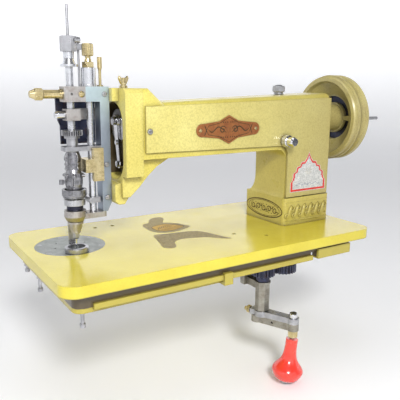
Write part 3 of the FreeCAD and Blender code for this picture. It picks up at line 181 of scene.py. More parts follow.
# ---------------------------------------------------------------- node materials
class Shader:
    """A node material being built. Constant numbers and colours go straight onto the shader's sockets."""

    def __init__(self, name, **constants):
        self.material = bpy.data.materials.new(name)
        self.material.use_nodes = True
        self.tree = self.material.node_tree
        self.bsdf = self.tree.nodes["Principled BSDF"]
        for socket, value in constants.items():
            self.bsdf.inputs[socket.replace("_", " ")].default_value = value
        self.place = self.node("ShaderNodeTexCoord").outputs["Object"]

    def node(self, kind, inputs=(), **settings):
        made = self.tree.nodes.new(kind)
        for key, value in settings.items():
            setattr(made, key, value)
        for key, value in dict(inputs).items():
            if isinstance(value, bpy.types.NodeSocket):
                self.tree.links.new(value, made.inputs[key])
            else:
                made.inputs[key].default_value = value
        return made

    def along(self, axis):
        """Where the point lies along X, Y or Z, in metres."""
        return self.node("ShaderNodeSeparateXYZ", {"Vector": self.place}).outputs[axis]

    def stretched(self, stretch):
        return self.node("ShaderNodeMapping", {"Vector": self.place, "Scale": stretch}).outputs[0]

    def noise(self, scale, detail=3.0, roughness=0.55, at=None):
        return self.node("ShaderNodeTexNoise", {"Vector": at or self.place, "Scale": scale, "Detail": detail,
                                                "Roughness": roughness}).outputs["Fac"]

    def fade(self, value, low, high, first=1.0, last=0.0):
        """first up to low, last from high on, and a straight line between them."""
        return self.node("ShaderNodeMapRange", {"Value": value, "From Min": low, "From Max": high,
                                                "To Min": first, "To Max": last}).outputs["Result"]

    def ramp(self, factor, *stops):
        made = self.node("ShaderNodeValToRGB", {"Fac": factor})
        stops_made = made.color_ramp.elements
        while len(stops_made) < len(stops):
            stops_made.new(0.5)
        for stop, (position, colour) in zip(stops_made, stops):
            stop.position = position
            stop.color = (*colour, 1) if isinstance(colour, tuple) else (colour, colour, colour, 1)
        return made.outputs["Color"]

    def mix(self, factor, a, b, blend="MIX"):
        made = self.node("ShaderNodeMix", {0: factor}, data_type="RGBA", blend_type=blend)
        for socket, value in ((made.inputs[6], a), (made.inputs[7], b)):
            if isinstance(value, bpy.types.NodeSocket):
                self.tree.links.new(value, socket)
            else:
                socket.default_value = (*value, 1)
        return made.outputs[2]

    def times(self, a, b):
        return self.node("ShaderNodeMath", {0: a, 1: b}, operation="MULTIPLY", use_clamp=True).outputs[0]

    def edges(self, radius, low, high):
        """1 where a sharp edge lies within the radius, 0 on open surface."""
        rounded = self.node("ShaderNodeBevel", {"Radius": radius}, samples=4).outputs[0]
        flat = self.node("ShaderNodeNewGeometry").outputs["Normal"]
        same = self.node("ShaderNodeVectorMath", {0: rounded, 1: flat}, operation="DOT_PRODUCT").outputs["Value"]
        return self.fade(same, low, high)

    def inside(self, low, high, ragged=0.002, blur=0.0003):
        """1 inside a box of the part's own frame, with a slightly ragged edge, 0 outside."""
        place = self.node("ShaderNodeSeparateXYZ", {"Vector": self.place})
        waver = self.times(self.noise(90.0, 3.0), ragged)
        share = None
        for k, axis in enumerate("XYZ"):
            level = place.outputs[axis]
            if axis == "Z":
                level = self.node("ShaderNodeMath", {0: level, 1: waver}, operation="ADD").outputs[0]
            for edge, ends in ((low[k], (0.0, 1.0)), (high[k], (1.0, 0.0))):
                step = self.fade(level, edge - blur, edge + blur, *ends)
                share = step if share is None else self.times(share, step)
        return share

    def crevices(self, distance):
        """1 in the open, falling to 0 in corners."""
        return self.node("ShaderNodeAmbientOcclusion", {"Distance": distance}, samples=4).outputs["AO"]

    def finish(self, colour, roughness, bumps=(), round_edges=0.0):
        """Join the colour, the roughness and the bumps, each a height, a distance and a strength, to the shader."""
        self.tree.links.new(colour, self.bsdf.inputs["Base Color"])
        self.tree.links.new(roughness, self.bsdf.inputs["Roughness"])
        normal = None
        if round_edges:
            normal = self.node("ShaderNodeBevel", {"Radius": round_edges}, samples=4).outputs[0]
        for height, distance, strength in bumps:
            inputs = {"Height": height, "Distance": distance, "Strength": strength}
            if normal is not None:
                inputs["Normal"] = normal
            normal = self.node("ShaderNodeBump", inputs).outputs[0]
        self.tree.links.new(normal, self.bsdf.inputs["Normal"])
        return self.material


def shade(colour, share):
    return tuple(share * c for c in colour)


# painted shade in the bed's recess and in the head's hollow
RECESS_SHADE = (0.085, 0.062, 0.030)
# painted shade below the bed's rim
UNDER_RIM_SHADE = (0.25, 0.20, 0.055)
# oily dirt and painted shade in the corners of metal parts
OILY_DIRT_AND_SHADE = (0.035, 0.032, 0.032)
SCUFFED_PLASTIC = (0.55, 0.20, 0.16)


def enamel(name, light, deep, worn_and_shaded_tone, speck, gloss, chipped, shade_along_x=None, shaded_box=None, shaded_below=None):
    """Thick brushed enamel over cast iron: mottled, slightly hammered, rubbed dark along the edges, with painted
    shade and grime in its corners.

    shade_along_x: painted shade; where along X, in metres, the paint begins and ends to darken towards +X, away
    from the key light, and how far it goes.
    shaded_box: lowest and highest corner of a recess whose paint is darkened to brown, as painted shade.
    shaded_below: two heights; the paint is darkened below them, as painted shade.
    """
    s = Shader(name, Coat_Weight=0.25, Coat_Roughness=0.18)
    cloud = s.noise(14.0, 4.0)
    grain = s.noise(520.0, 3.0, 0.6)
    spots = s.noise(900.0, 2.0, 0.5)
    paint = s.ramp(cloud, (0.30, deep), (0.68, light))
    grainy = s.ramp(grain, (0.30, shade(deep, 0.72)), (0.60, (1.0, 0.96, 0.86)))
    paint = s.mix(0.42 * speck, paint, grainy, "MULTIPLY")
    dark_spots = s.ramp(spots, (0.64, 0.0), (0.74, 1.0))
    paint = s.mix(s.times(dark_spots, 0.22 * speck), paint, shade(deep, 0.45))
    # painted shade: the paint darkens along X towards a dull tone, away from the key light
    if shade_along_x is not None:
        start, end, amount = shade_along_x
        paint = s.mix(s.fade(s.along("X"), start, end, 0.0, amount), paint,
                      (0.30 * light[0], 0.25 * light[1], 0.30 * light[2]))
    # painted shade: the paint darkens below the given heights
    if shaded_below is not None:
        paint = s.mix(s.times(s.fade(s.along("Z"), *shaded_below), 0.55), paint, UNDER_RIM_SHADE)
    # painted shade: the paint turns dark brown inside the given box
    if shaded_box is not None:
        paint = s.mix(s.inside(*shaded_box), paint, RECESS_SHADE)
    # painted shade and grime: corners darken towards the worn tone, from the occlusion of nearby faces
    shade_and_grime = s.ramp(s.crevices(0.006), (0.35, 1.0), (0.92, 0.0))
    paint = s.mix(s.times(shade_and_grime, 0.75), paint, worn_and_shaded_tone)
    rubbed = s.times(s.edges(0.0011, 0.55, 0.985), s.ramp(s.noise(60.0, 5.0, 0.7), (0.42, 0.0), (0.62, 1.0)))
    paint = s.mix(s.times(rubbed, chipped), paint, worn_and_shaded_tone)
    rough = s.ramp(s.noise(40.0, 4.0), (0.3, gloss - 0.08), (0.7, gloss + 0.12))
    return s.finish(paint, rough, [(s.noise(240.0, 2.0), 0.0006, 0.22), (grain, 0.00025, 0.25)], 0.0008)


# how often the tool lines repeat along X, Y and Z, per metre: turned rings and milled strokes
TURNED_X, TURNED_Z = (2600, 60, 60), (60, 60, 2600)
MILLED_X, MILLED_Y, MILLED_Z = (900, 70, 70), (70, 900, 70), (70, 70, 900)


def metal(name, light, deep, edge, rough=(0.22, 0.42), lines=TURNED_Z, scratches=0.25, stain=None,
          cloud_scale=90.0, low=None):
    """Machined metal: fine tool lines one way, cloudy tarnish, oily dirt and painted shade in corners, and brighter
    edges, partly rubbed and partly a painted highlight.

    low: two heights and the painted shade, a darker tint, that the metal takes on below them.
    """
    s = Shader(name, Metallic=1.0)
    cloud = s.noise(cloud_scale, 4.0, 0.6)
    tool = s.noise(1.0, 2.0, 0.7, at=s.stretched(lines))
    tone = s.ramp(cloud, (0.28, deep), (0.70, light))
    # painted shade: the metal darkens below the given heights
    if low is not None:
        tone = s.mix(s.fade(s.along("Z"), low[0], low[1]), tone, low[2])
    tone = s.mix(scratches, tone, s.ramp(tool, (0.25, shade(light, 0.62)), (0.75, (1.0, 1.0, 1.0))), "MULTIPLY")
    if stain is not None:
        blot = s.ramp(s.noise(cloud_scale * 1.7, 5.0, 0.7), (0.50, 0.0), (0.66, 1.0))
        tone = s.mix(s.times(blot, 0.6), tone, stain)
    # oily dirt and painted shade in corners
    tone = s.mix(s.times(s.ramp(s.crevices(0.004), (0.25, 1.0), (0.85, 0.0)), 0.7), tone, OILY_DIRT_AND_SHADE)
    # brighter edges: rubbed wear and a painted highlight
    if edge is not None:
        tone = s.mix(s.edges(0.0006, 0.6, 0.99), tone, edge)
    return s.finish(tone, s.ramp(cloud, (0.25, rough[1]), (0.72, rough[0])), [(tool, 0.00012, 0.22)], 0.00035)


def plastic(name, light, deep):
    """Glossy moulded plastic with faint streaks and scuffs."""
    s = Shader(name, Coat_Weight=0.6, Coat_Roughness=0.06, Subsurface_Weight=0.06, Subsurface_Scale=0.004)
    tone = s.ramp(s.noise(26.0, 3.0), (0.3, deep), (0.7, light))
    scuffs = s.ramp(s.noise(1.0, 3.0, 0.7, at=s.stretched((120, 120, 900))), (0.60, 0.0), (0.72, 1.0))
    tone = s.mix(s.times(scuffs, 0.12), tone, SCUFFED_PLASTIC)
    return s.finish(tone, s.ramp(s.noise(120.0, 4.0), (0.3, 0.16), (0.7, 0.30)),
                    [(s.noise(90.0, 2.0), 0.0005, 0.12)], 0.0006)


def printed(name, light, deep, hatch=None, hatch_scale=(900, 900, 900)):
    """A transfer printed on the enamel: uneven ink, a fine screen and rubbed patches."""
    s = Shader(name, Specular_IOR_Level=0.3)
    ink = s.ramp(s.noise(160.0, 4.0, 0.65), (0.32, deep), (0.66, light))
    if hatch is not None:
        screen = s.noise(1.0, 1.0, 0.5, at=s.stretched(hatch_scale))
        ink = s.mix(s.ramp(screen, (0.46, 0.0), (0.58, 0.8)), ink, hatch)
    rough = s.ramp(s.noise(200.0, 3.0), (0.3, 0.42), (0.7, 0.60))
    return s.finish(ink, rough, [(s.noise(700.0, 2.0), 0.0001, 0.2)])


# recesses and heights where painted shade darkens a casting, the frame or a tube
FAR = 1.0                       # beyond the machine on every side
BED_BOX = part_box("bed")
BED_TOP_Z = BED_BOX[1][2]
LIP = 0.0101                    # from the bed's front edge to just behind the lip on its skirt
RECESS = ((-FAR, BED_BOX[0][1] + LIP, BED_BOX[0][2] + 0.0085), (FAR, FAR, BED_TOP_Z - 0.0118))
LIP_HEIGHTS = (BED_TOP_Z - 0.0120, BED_TOP_Z - 0.0112)
HEAD_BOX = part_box("head_casting")
HEAD_WALL, HEAD_FOOT, HEAD_ROOF_Z = 0.008, 0.0325, 0.1655
HEAD_HOLLOW = ((HEAD_BOX[0][0] + HEAD_WALL, -0.0254, HEAD_BOX[0][2] + HEAD_FOOT),
               (HEAD_BOX[1][0] + FAR, 0.0234, HEAD_ROOF_Z))
FRAME_SHADE_HEIGHTS = (0.135, 0.172)
TUBE_SHADE_HEIGHTS = (0.0536, 0.0542)

# worn paint on rubbed edges, and painted shade and grime in corners
WORN_AND_SHADED = (0.10, 0.072, 0.022)
# the darkening along X, the bed's dark recess and the darker band below its rim are painted shade
bed_enamel = enamel("bed_enamel", (0.72, 0.62, 0.065), (0.61, 0.505, 0.04), WORN_AND_SHADED, speck=0.25, gloss=0.15,
                    chipped=0.9, shade_along_x=(0.12, 0.42, 0.26), shaded_box=RECESS, shaded_below=LIP_HEIGHTS)
arm_enamel = enamel("arm_enamel", (0.73, 0.65, 0.17), (0.60, 0.515, 0.10), WORN_AND_SHADED, speck=0.85, gloss=0.32,
                    chipped=0.8, shade_along_x=(0.10, 0.36, 0.46))
head_enamel = enamel("head_enamel", (0.70, 0.625, 0.19), (0.585, 0.505, 0.12), WORN_AND_SHADED, speck=0.85, gloss=0.34,
                     chipped=0.9, shaded_box=HEAD_HOLLOW)
cover_enamel = enamel("cover_enamel", (0.70, 0.64, 0.235), (0.585, 0.515, 0.155), WORN_AND_SHADED, speck=0.95, gloss=0.36,
                      chipped=0.8, shade_along_x=(0.10, 0.36, 0.58))
wheel_enamel = enamel("wheel_enamel", (0.56, 0.50, 0.20), (0.36, 0.30, 0.11), (0.11, 0.095, 0.06), speck=0.8,
                      gloss=0.34, chipped=0.9)
steel = metal("steel", (0.62, 0.62, 0.64), (0.36, 0.36, 0.38), (0.80, 0.80, 0.81))
side_turned_steel = metal("side_turned_steel", (0.60, 0.60, 0.62), (0.38, 0.38, 0.40), None, lines=TURNED_X)
plate_steel = metal("plate_steel", (0.46, 0.48, 0.46), (0.33, 0.35, 0.33), (0.66, 0.67, 0.66), (0.34, 0.5),
                    MILLED_X)
side_lit_steel = metal("side_lit_steel", (0.86, 0.87, 0.90), (0.62, 0.63, 0.66), (0.92, 0.92, 0.93),
                       (0.20, 0.34))
carrier_steel = metal("carrier_steel", (0.46, 0.46, 0.48), (0.16, 0.16, 0.18), (0.84, 0.84, 0.85), (0.26, 0.46),
                      stain=(0.07, 0.06, 0.06), cloud_scale=170.0)
housing_steel = metal("housing_steel", (0.46, 0.44, 0.38), (0.27, 0.25, 0.21), (0.66, 0.64, 0.58), (0.34, 0.55),
                      MILLED_Z, stain=(0.20, 0.17, 0.13))
# the frame's lower part takes painted shade
blue_steel = metal("blue_steel", (0.64, 0.77, 0.79), (0.52, 0.62, 0.66), (0.84, 0.88, 0.90), (0.36, 0.52),
                   MILLED_Y, cloud_scale=26.0, low=(*FRAME_SHADE_HEIGHTS, (0.36, 0.41, 0.49)))
# the tube takes near-black painted shade below the given heights
tube_steel = metal("tube_steel", (0.70, 0.70, 0.72), (0.46, 0.46, 0.48), (0.84, 0.84, 0.85),
                   low=(*TUBE_SHADE_HEIGHTS, (0.05, 0.05, 0.075)))
warm_steel = metal("warm_steel", (0.62, 0.60, 0.58), (0.42, 0.39, 0.37), (0.74, 0.72, 0.70), (0.34, 0.52),
                   MILLED_X, stain=(0.34, 0.27, 0.24))
dark_steel = metal("dark_steel", (0.10, 0.11, 0.17), (0.035, 0.04, 0.07), (0.34, 0.35, 0.42), (0.30, 0.5),
                   stain=(0.10, 0.06, 0.04))
chrome = metal("chrome", (0.86, 0.86, 0.88), (0.66, 0.66, 0.68), None, (0.07, 0.18), scratches=0.10)
brass = metal("brass", (0.84, 0.72, 0.42), (0.60, 0.49, 0.24), (0.93, 0.84, 0.58), (0.20, 0.38),
              stain=(0.34, 0.25, 0.12))
copper = metal("copper", (0.62, 0.27, 0.10), (0.44, 0.17, 0.07), (0.72, 0.40, 0.20), (0.36, 0.55), MILLED_X,
               stain=(0.30, 0.11, 0.06))
red_plastic = plastic("red_plastic", (0.84, 0.055, 0.032), (0.72, 0.035, 0.022))
brown_print = printed("brown_print", (0.32, 0.25, 0.12), (0.19, 0.145, 0.07), (0.46, 0.38, 0.17),
                      (2400, 160, 160))
orange_print = printed("orange_print", (0.62, 0.36, 0.06), (0.42, 0.22, 0.03), (0.66, 0.50, 0.12))
umber_print = printed("umber_print", (0.085, 0.048, 0.014), (0.04, 0.024, 0.009))
white_print = printed("white_print", (0.60, 0.60, 0.58), (0.46, 0.46, 0.45), (0.34, 0.35, 0.35),
                      (700, 700, 700))
red_print = printed("red_print", (0.66, 0.04, 0.03), (0.46, 0.03, 0.025))
blue_print = printed("blue_print", (0.07, 0.13, 0.28), (0.03, 0.06, 0.16))

SLOT_MATERIALS = {
    "yellow_enamel": arm_enamel, "wheel_enamel": wheel_enamel, "steel": steel, "blue_steel": blue_steel,
    "warm_steel": warm_steel, "dark_steel": dark_steel, "chrome": chrome, "brass": brass, "copper": copper,
    "red_plastic": red_plastic,
}
NODE_MATERIALS = {              # nodes that look different from the rest of their slot
    "bed": bed_enamel, "cover_plate": cover_enamel, "head_casting": head_enamel,
    "main_shaft": side_turned_steel, "lower_shaft": side_turned_steel, "handwheel_peg": side_turned_steel,
    "needle_plate": plate_steel, "crank_bracket": housing_steel, "crank_link": housing_steel,
    "feed_tube": tube_steel, "ring_flange": carrier_steel, "claw_carrier": carrier_steel,
    "nipple": warm_steel, "needle_driver": warm_steel, "presser_bar": side_lit_steel,
    "needle_bar": side_lit_steel, "spring_case": side_lit_steel,
}


def dress_nodes():
    for part in frame["record"]["subparts"]:
        name = part["node"]
        node = nodes[name]
        node.data.materials.clear()
        node.data.materials.append(NODE_MATERIALS.get(name, SLOT_MATERIALS[part["material_slot"]]))


# ---------------------------------------------------------------- mesh helpers
def angles(count):
    """Evenly spaced angles once round, in radians."""
    return [TURN * k / count for k in range(count)]


def mesh_data(name, mesh):
    data = bpy.data.meshes.new(name)
    mesh.to_mesh(data)
    mesh.free()
    return data


def add_piece(name, mesh, material, body="stand", crease=math.radians(40)):
    mesh.normal_update()
    data = mesh_data(name, mesh)
    data.shade_smooth()
    data.set_sharp_from_angle(angle=crease)
    data.materials.append(material)
    piece = bpy.data.objects.new(name, data)
    scene.collection.objects.link(piece)
    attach(piece, body)


def smooth_line(points, closed=False, steps=5):
    """A Catmull-Rom line through the points."""
    count = len(points)
    line = []
    for k in range(count if closed else count - 1):
        if closed:
            a, b, c, d = (points[(k + j) % count] for j in (-1, 0, 1, 2))
        else:
            a, b, c, d = (points[min(max(k + j, 0), count - 1)] for j in (-1, 0, 1, 2))
        for step in range(steps):
            t = step / steps
            line.append(tuple(0.5 * (2 * q + (r - p) * t + (2 * p - 5 * q + 4 * r - w) * t * t
                                     + (3 * q - p - 3 * r + w) * t ** 3) for p, q, r, w in zip(a, b, c, d)))
    if not closed:
        line.append(tuple(points[-1]))
    return line


def spiral(centre, start_r, end_r, start_angle, turns, steps=14):
    """Points along a flat spiral. The angle is in degrees, and turns below 0 run clockwise."""
    line = []
    for k in range(steps + 1):
        t = k / steps
        angle = math.radians(start_angle + 360 * turns * t)
        r = start_r + (end_r - start_r) * t
        line.append((centre[0] + r * math.cos(angle), centre[1] + r * math.sin(angle)))
    return line


def oval(centre, half_u, half_v, count):
    return [(centre[0] + half_u * math.cos(a), centre[1] + half_v * math.sin(a)) for a in angles(count)]


def resized(outline, centre, share_u, share_v):
    return [(centre[0] + (u - centre[0]) * share_u, centre[1] + (v - centre[1]) * share_v) for u, v in outline]


class Face:
    """A flat face of the machine to draw on: an origin, two directions along it and its outward normal."""

    ROOT = 0.05                 # every drawing is sunk this far into its face

    def __init__(self, origin, along, up):
        self.origin, self.along, self.up = Vector(origin), Vector(along), Vector(up)
        self.out = self.along.cross(self.up)

    def at(self, u, v, lift):
        return self.origin + (self.along * u + self.up * v + self.out * lift) * MM

    def patch(self, mesh, outline, height):
        """A thin plate with the outline given."""
        area = sum(a[0] * b[1] - b[0] * a[1] for a, b in zip(outline, outline[1:] + outline[:1]))
        if area < 0:
            outline = outline[::-1]
        low = [mesh.verts.new(self.at(u, v, -self.ROOT)) for u, v in outline]
        high = [mesh.verts.new(self.at(u, v, height)) for u, v in outline]
        mesh.faces.new(high)
        mesh.faces.new(low[::-1])
        for k in range(len(outline)):
            n = (k + 1) % len(outline)
            mesh.faces.new((low[k], low[n], high[n], high[k]))

    def stroke(self, mesh, line, width, height, ends=(0.35, 0.35), closed=False, sides=6):
        """A half-round line raised on the face. It narrows over a quarter of its length to a share at each end."""
        count = len(line)
        rings = []
        for k, (u, v) in enumerate(line):
            before = line[(k - 1) % count] if closed else line[max(k - 1, 0)]
            after = line[(k + 1) % count] if closed else line[min(k + 1, count - 1)]
            du, dv = after[0] - before[0], after[1] - before[1]
            length = math.hypot(du, dv) or 1.0
            side = (-dv / length, du / length)
            t = k / (count - 1)
            share = 1.0
            if not closed:
                share = min(1.0, ends[0] + (1 - ends[0]) * min(1.0, 4 * t),
                            ends[1] + (1 - ends[1]) * min(1.0, 4 * (1 - t)))
            half = width / 2 * share
            rings.append([mesh.verts.new(self.at(u + side[0] * half * math.cos(a), v + side[1] * half * math.cos(a),
                                                 height * share * math.sin(a) - self.ROOT))
                          for a in (math.pi * j / sides for j in range(sides + 1))])
        pairs = list(zip(rings, rings[1:])) + ([(rings[-1], rings[0])] if closed else [])
        for one, two in pairs:
            for j in range(sides):
                mesh.faces.new((one[j], two[j], two[j + 1], one[j + 1]))
            mesh.faces.new((one[sides], two[sides], two[0], one[0]))
        if not closed:
            mesh.faces.new(rings[0])
            mesh.faces.new(rings[-1][::-1])

    def dot(self, mesh, u, v, r, height, sides=14):
        """A small domed dot."""
        rings = []
        for ring_r, lift in ((r, -self.ROOT), (0.9 * r, 0.55 * height), (0.5 * r, 0.92 * height)):
            rings.append([mesh.verts.new(self.at(u + ring_r * math.cos(a), v + ring_r * math.sin(a), lift))
                          for a in angles(sides)])
        for low, high in zip(rings, rings[1:]):
            for k in range(sides):
                n = (k + 1) % sides
                mesh.faces.new((low[k], low[n], high[n], high[k]))
        mesh.faces.new(rings[-1])
        mesh.faces.new(rings[0][::-1])


# ---------------------------------------------------------------- faces to draw on, from the frame
def corners(node):
    low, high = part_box(node)
    return Vector(low), Vector(high)


bed_box, cover_box, arm_box, badge_box, upright_box = (
    corners(node) for node in ("bed", "cover_plate", "arm_casting", "badge", "upright_shaft"))
CASTING_MARGIN = 0.001          # the cover stops this far inside the column's edges
BASE_SIDE = 0.003               # the base block stands out this far at the column's sides
BASE_MIDDLE_Y = 0.005
column_right = cover_box[1].x + CASTING_MARGIN
column_left = upright_box[0].x + upright_box[1].x - column_right      # the upright shaft stands midway
column_middle = (column_left + column_right) / 2
bed_top = Face((0, 0, bed_box[1].z), (1, 0, 0), (0, 1, 0))
base_front = Face((column_middle, arm_box[0].y, bed_box[1].z), (1, 0, 0), (0, 0, 1))
base_left = Face((column_left - BASE_SIDE, BASE_MIDDLE_Y, bed_box[1].z), (0, -1, 0), (0, 0, 1))
cover_face = Face((column_middle, cover_box[0].y, cover_box[0].z), (1, 0, 0), (0, 0, 1))
badge_face = Face(((badge_box[0].x + badge_box[1].x) / 2, badge_box[0].y, (badge_box[0].z + badge_box[1].z) / 2),
                  (1, 0, 0), (0, 0, 1))


# ---------------------------------------------------------------- ornament, in millimetres on its face
INK = 0.10                      # how far a print stands out
LEAF = [(112, 52), (110, 36), (114, 22), (126, 15), (140, 15), (154, 20), (166, 27), (164, 36), (158, 48),
        (150, 58), (138, 62), (124, 60)]
BUD = [(112, 50), (116, 66), (126, 70), (133, 82), (141, 90), (150, 92), (156, 88), (154, 78), (147, 68),
       (140, 58)]
SCROLLS = [(104, 12), (120, 11), (136, 9), (152, 6), (162, 0), (168, -10), (172, -24), (176, -36), (180, -48),
           (172, -44), (164, -36), (156, -28), (146, -24), (134, -20), (122, -20), (112, -26), (106, -40),
           (98, -46), (90, -38), (94, -22), (98, -6)]
DASHES = ((112, -36, 5), (121, -31, 9), (134, -31, 7), (144, -34, 8), (155, -39, 5))    # u, v, length


def make_bed_ornament():
    """A printed leaf with an orange heart and fine veins, over two brown scrolls that run to the front."""
    leaf, bud, scrolls = (smooth_line(outline, closed=True) for outline in (LEAF, BUD, SCROLLS))
    mesh = bmesh.new()
    for outline, height in ((leaf, INK), (bud, INK + 0.03), (scrolls, INK)):
        bed_top.patch(mesh, outline, height)
    add_piece("bed_ornament", mesh, brown_print)

    middle = (sum(u for u, _ in leaf) / len(leaf), sum(v for _, v in leaf) / len(leaf))
    heart = resized(leaf, middle, 0.72, 0.66)
    mesh = bmesh.new()
    bed_top.patch(mesh, heart, INK + 0.06)
    add_piece("bed_ornament_lattice", mesh, orange_print)

    line_height = INK + 0.20
    mesh = bmesh.new()
    bed_top.stroke(mesh, heart, 1.3, line_height, closed=True)
    bed_top.stroke(mesh, [(middle[0] - 18, middle[1] - 6), middle, (middle[0] + 18, middle[1] + 4)], 1.5,
                   line_height)
    veins, pitch, spread, longest, slope = 11, 3.4, 21.0, 13.5, 0.3
    for k in range(veins):
        shift = pitch * (k - veins // 2)
        reach = longest * math.sqrt(1 - (shift / spread) ** 2)
        u, v = middle[0] + shift, middle[1] + slope * shift
        for side in (-1, 1):
            vein = [(u, v), (u + 2.6, v + side * 0.5 * reach), (u + 6.4, middle[1] + side * reach)]
            bed_top.stroke(mesh, smooth_line(vein, steps=4), 1.3, line_height)
    for u, v, length in DASHES:
        bed_top.stroke(mesh, [(u, v), (u + length, v - 0.35 * length)], 1.6, INK)
    for k in range(9):
        u = 108 + 6.6 * k
        bed_top.stroke(mesh, [(u, 4 - 0.1 * k * k), (u + 3, -10 - 0.28 * k * k)], 0.9, INK + 0.1)
    add_piece("bed_ornament_lines", mesh, umber_print)


def make_base_print():
    """Printed oval with a plain running scroll on the left side of the base block."""
    half_u, half_v, centre_v, pitch = 38.0, 12.0, 17.5, 11.5
    mesh = bmesh.new()
    for share, width in ((1.0, 1.7), (0.86, 0.9)):
        base_left.stroke(mesh, oval((0, centre_v), half_u * share, half_v * share, 48), width, INK, closed=True)
    for k in range(-2, 3):
        up = 1 if k % 2 == 0 else -1
        u, next_u = pitch * k, pitch * k + 5.7
        base_left.stroke(mesh, spiral((u, centre_v), 5.4, 0.8, 90 * up, 1.6 * up), 1.8, INK, (0.6, 0.5))
        base_left.stroke(mesh, spiral((next_u, centre_v - 3.4 * up), 2.9, 0.6, -90 * up, -1.2 * up), 1.3, INK)
        base_left.dot(mesh, next_u, centre_v + 5.2 * up, 0.8, INK)
    for u, v in oval((0, centre_v), half_u * 0.93, half_v * 0.93, 24):
        base_left.dot(mesh, u, v, 0.42, INK)
    add_piece("base_print", mesh, umber_print)


def make_base_relief():
    """Cast running scroll on the front of the base block, between two raised lines."""
    half, low, high = 38.0, 7.0, 28.5
    count, pitch, first = 6, 11.9, 7.0
    blunt = (0.8, 0.6)
    mesh = bmesh.new()
    for k in range(count):
        u = -half + first + pitch * k
        stem = smooth_line([(u - 4.6, low + 3), (u - 1.5, low + 8), (u + 0.6, low + 14), (u + 3.4, high - 2.5)])
        base_front.stroke(mesh, stem, 4.8, 2.6, (0.5, 0.3))
        base_front.stroke(mesh, spiral((u + 4.0, high - 6.4), 4.2, 0.9, 100, -1.25), 2.5, 1.9, blunt)
        base_front.stroke(mesh, spiral((u - 4.4, low + 6.2), 3.6, 0.8, -70, -1.1), 2.3, 1.8, blunt)
        base_front.dot(mesh, u + 6.4, low + 4.4, 1.6, 1.7)
    wave = [(-half + 2 * half * k / 48, low - 1.4 + 0.5 * math.sin(k * math.pi / 4)) for k in range(49)]
    base_front.stroke(mesh, wave, 2.2, 1.5, (0.3, 0.3))
    base_front.stroke(mesh, [(-half, high + 2.2), (half, high + 2.2)], 1.2, 0.7, (0.3, 0.3))
    add_piece("base_relief", mesh, arm_enamel)


def lobed_arch(half, height, foot):
    """Outline of a lobed arch standing on a wider foot, counter-clockwise from the lower left."""
    right = [(half, 0), (half, foot * 0.82), (half * 0.90, foot), (half * 0.90, foot + 2)]
    previous = right[-1]
    for share_u, share_v in ((0.86, 0.36), (0.70, 0.52), (0.48, 0.66), (0.25, 0.76)):
        end = (half * share_u, height * share_v)
        mid = ((previous[0] + end[0]) / 2, (previous[1] + end[1]) / 2)
        out = (end[1] - previous[1], previous[0] - end[0])
        size = math.hypot(*out) or 1.0
        bulge = 0.30 * math.hypot(end[0] - previous[0], end[1] - previous[1])
        right += smooth_line([previous, (mid[0] + out[0] / size * bulge, mid[1] + out[1] / size * bulge), end])[1:]
        previous = end
    right += [(half * 0.12, height * 0.85), (half * 0.04, height * 0.94), (0, height)]
    left = [(-u, v) for u, v in reversed(right[:-1])]
    return right + left


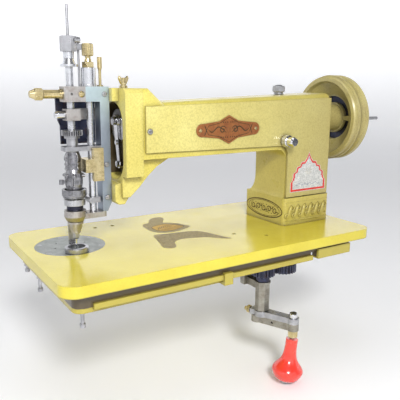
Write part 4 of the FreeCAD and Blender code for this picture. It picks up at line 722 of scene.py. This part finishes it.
def make_label():
    """Arched printed label low on the cover, with a red border, a scroll band and a plain rosette."""
    half, height, foot, middle_u, rise = 31.0, 51.0, 15.0, 1.0, 7.0
    shape = [(u + middle_u, v + rise) for u, v in lobed_arch(half, height, foot)]
    centre = (middle_u, rise + 0.40 * height)
    for name, outline, lift, material in (
            ("label_edge", resized(shape, centre, 1.035, 1.04), 0.08, white_print),
            ("label_border", shape, 0.14, red_print),
            ("label_field", resized(shape, centre, 0.90, 0.87), 0.20, white_print)):
        mesh = bmesh.new()
        cover_face.patch(mesh, outline, lift)
        add_piece(name, mesh, material)

    line_height = 0.30
    mesh = bmesh.new()
    for k in range(9):
        up = 1 if k % 2 == 0 else -1
        curl = spiral((middle_u - 20.5 + 4.9 * k, rise + 9.0), 2.3, 0.5, 90 * up, 1.1 * up)
        cover_face.stroke(mesh, curl, 0.9, line_height)
    cover_face.stroke(mesh, [(middle_u - 22, rise + 4.6), (middle_u + 22, rise + 4.6)], 0.5, line_height)
    cover_face.dot(mesh, middle_u, rise + 0.84 * height, 0.9, line_height)
    add_piece("label_band", mesh, blue_print)

    mesh = bmesh.new()
    heart = (middle_u, rise + 0.52 * height)
    for a in angles(8):
        bend = (heart[0] + 4.6 * math.cos(a + 0.35), heart[1] + 4.0 * math.sin(a + 0.35))
        tip = (heart[0] + 7.2 * math.cos(a), heart[1] + 6.2 * math.sin(a))
        cover_face.stroke(mesh, smooth_line([heart, bend, tip]), 0.7, line_height)
    add_piece("label_rosette", mesh, brown_print)


def make_badge_ornament():
    """Dark line round the copper badge and plain scrolls across it."""
    half_u = (badge_box[1].x - badge_box[0].x) / 2 / MM
    half_v = (badge_box[1].z - badge_box[0].z) / 2 / MM
    height = 0.3
    quarter = [(0.64 * half_u, 0.30 * half_v), (0.30 * half_u, 0.47 * half_v), (0.0, 0.86 * half_v)]
    rim = [(0.70 * half_u, 0.0)] + quarter + [(-u, v) for u, v in quarter[1::-1]] + [(-0.70 * half_u, 0.0)]
    rim += [(u, -v) for u, v in rim[-2:0:-1]]
    mesh = bmesh.new()
    badge_face.stroke(mesh, rim, 0.8, 0.16, closed=True)
    for side in (-1, 1):
        for line, width in (
                (spiral((side * 0.20 * half_u, 0), 5.0, 1.0, 90 + 90 * side, side * -1.3), 1.5),
                (smooth_line([(side * 4, -3.4), (side * 15, 3.6), (side * 24, -2.2), (side * 30, 1.0)]), 1.5),
                (smooth_line([(side * 35, 6), (side * 32.5, 0), (side * 35, -6)]), 1.3)):
            badge_face.stroke(mesh, line, width, height)
        for k in range(4):
            for v in (0.52 * half_v, -0.52 * half_v):
                badge_face.dot(mesh, side * (2.2 + 3.1 * k), v, 0.8, height)
    for k in range(-3, 4):
        badge_face.stroke(mesh, [(2.2 * k - 1.0, -3.6), (2.2 * k + 1.0, 3.6)], 0.8, height)
    add_piece("badge_ornament", mesh, umber_print)


make_studio()
dress_nodes()
make_bed_ornament()
make_base_print()
make_base_relief()
make_label()
make_badge_ornament()
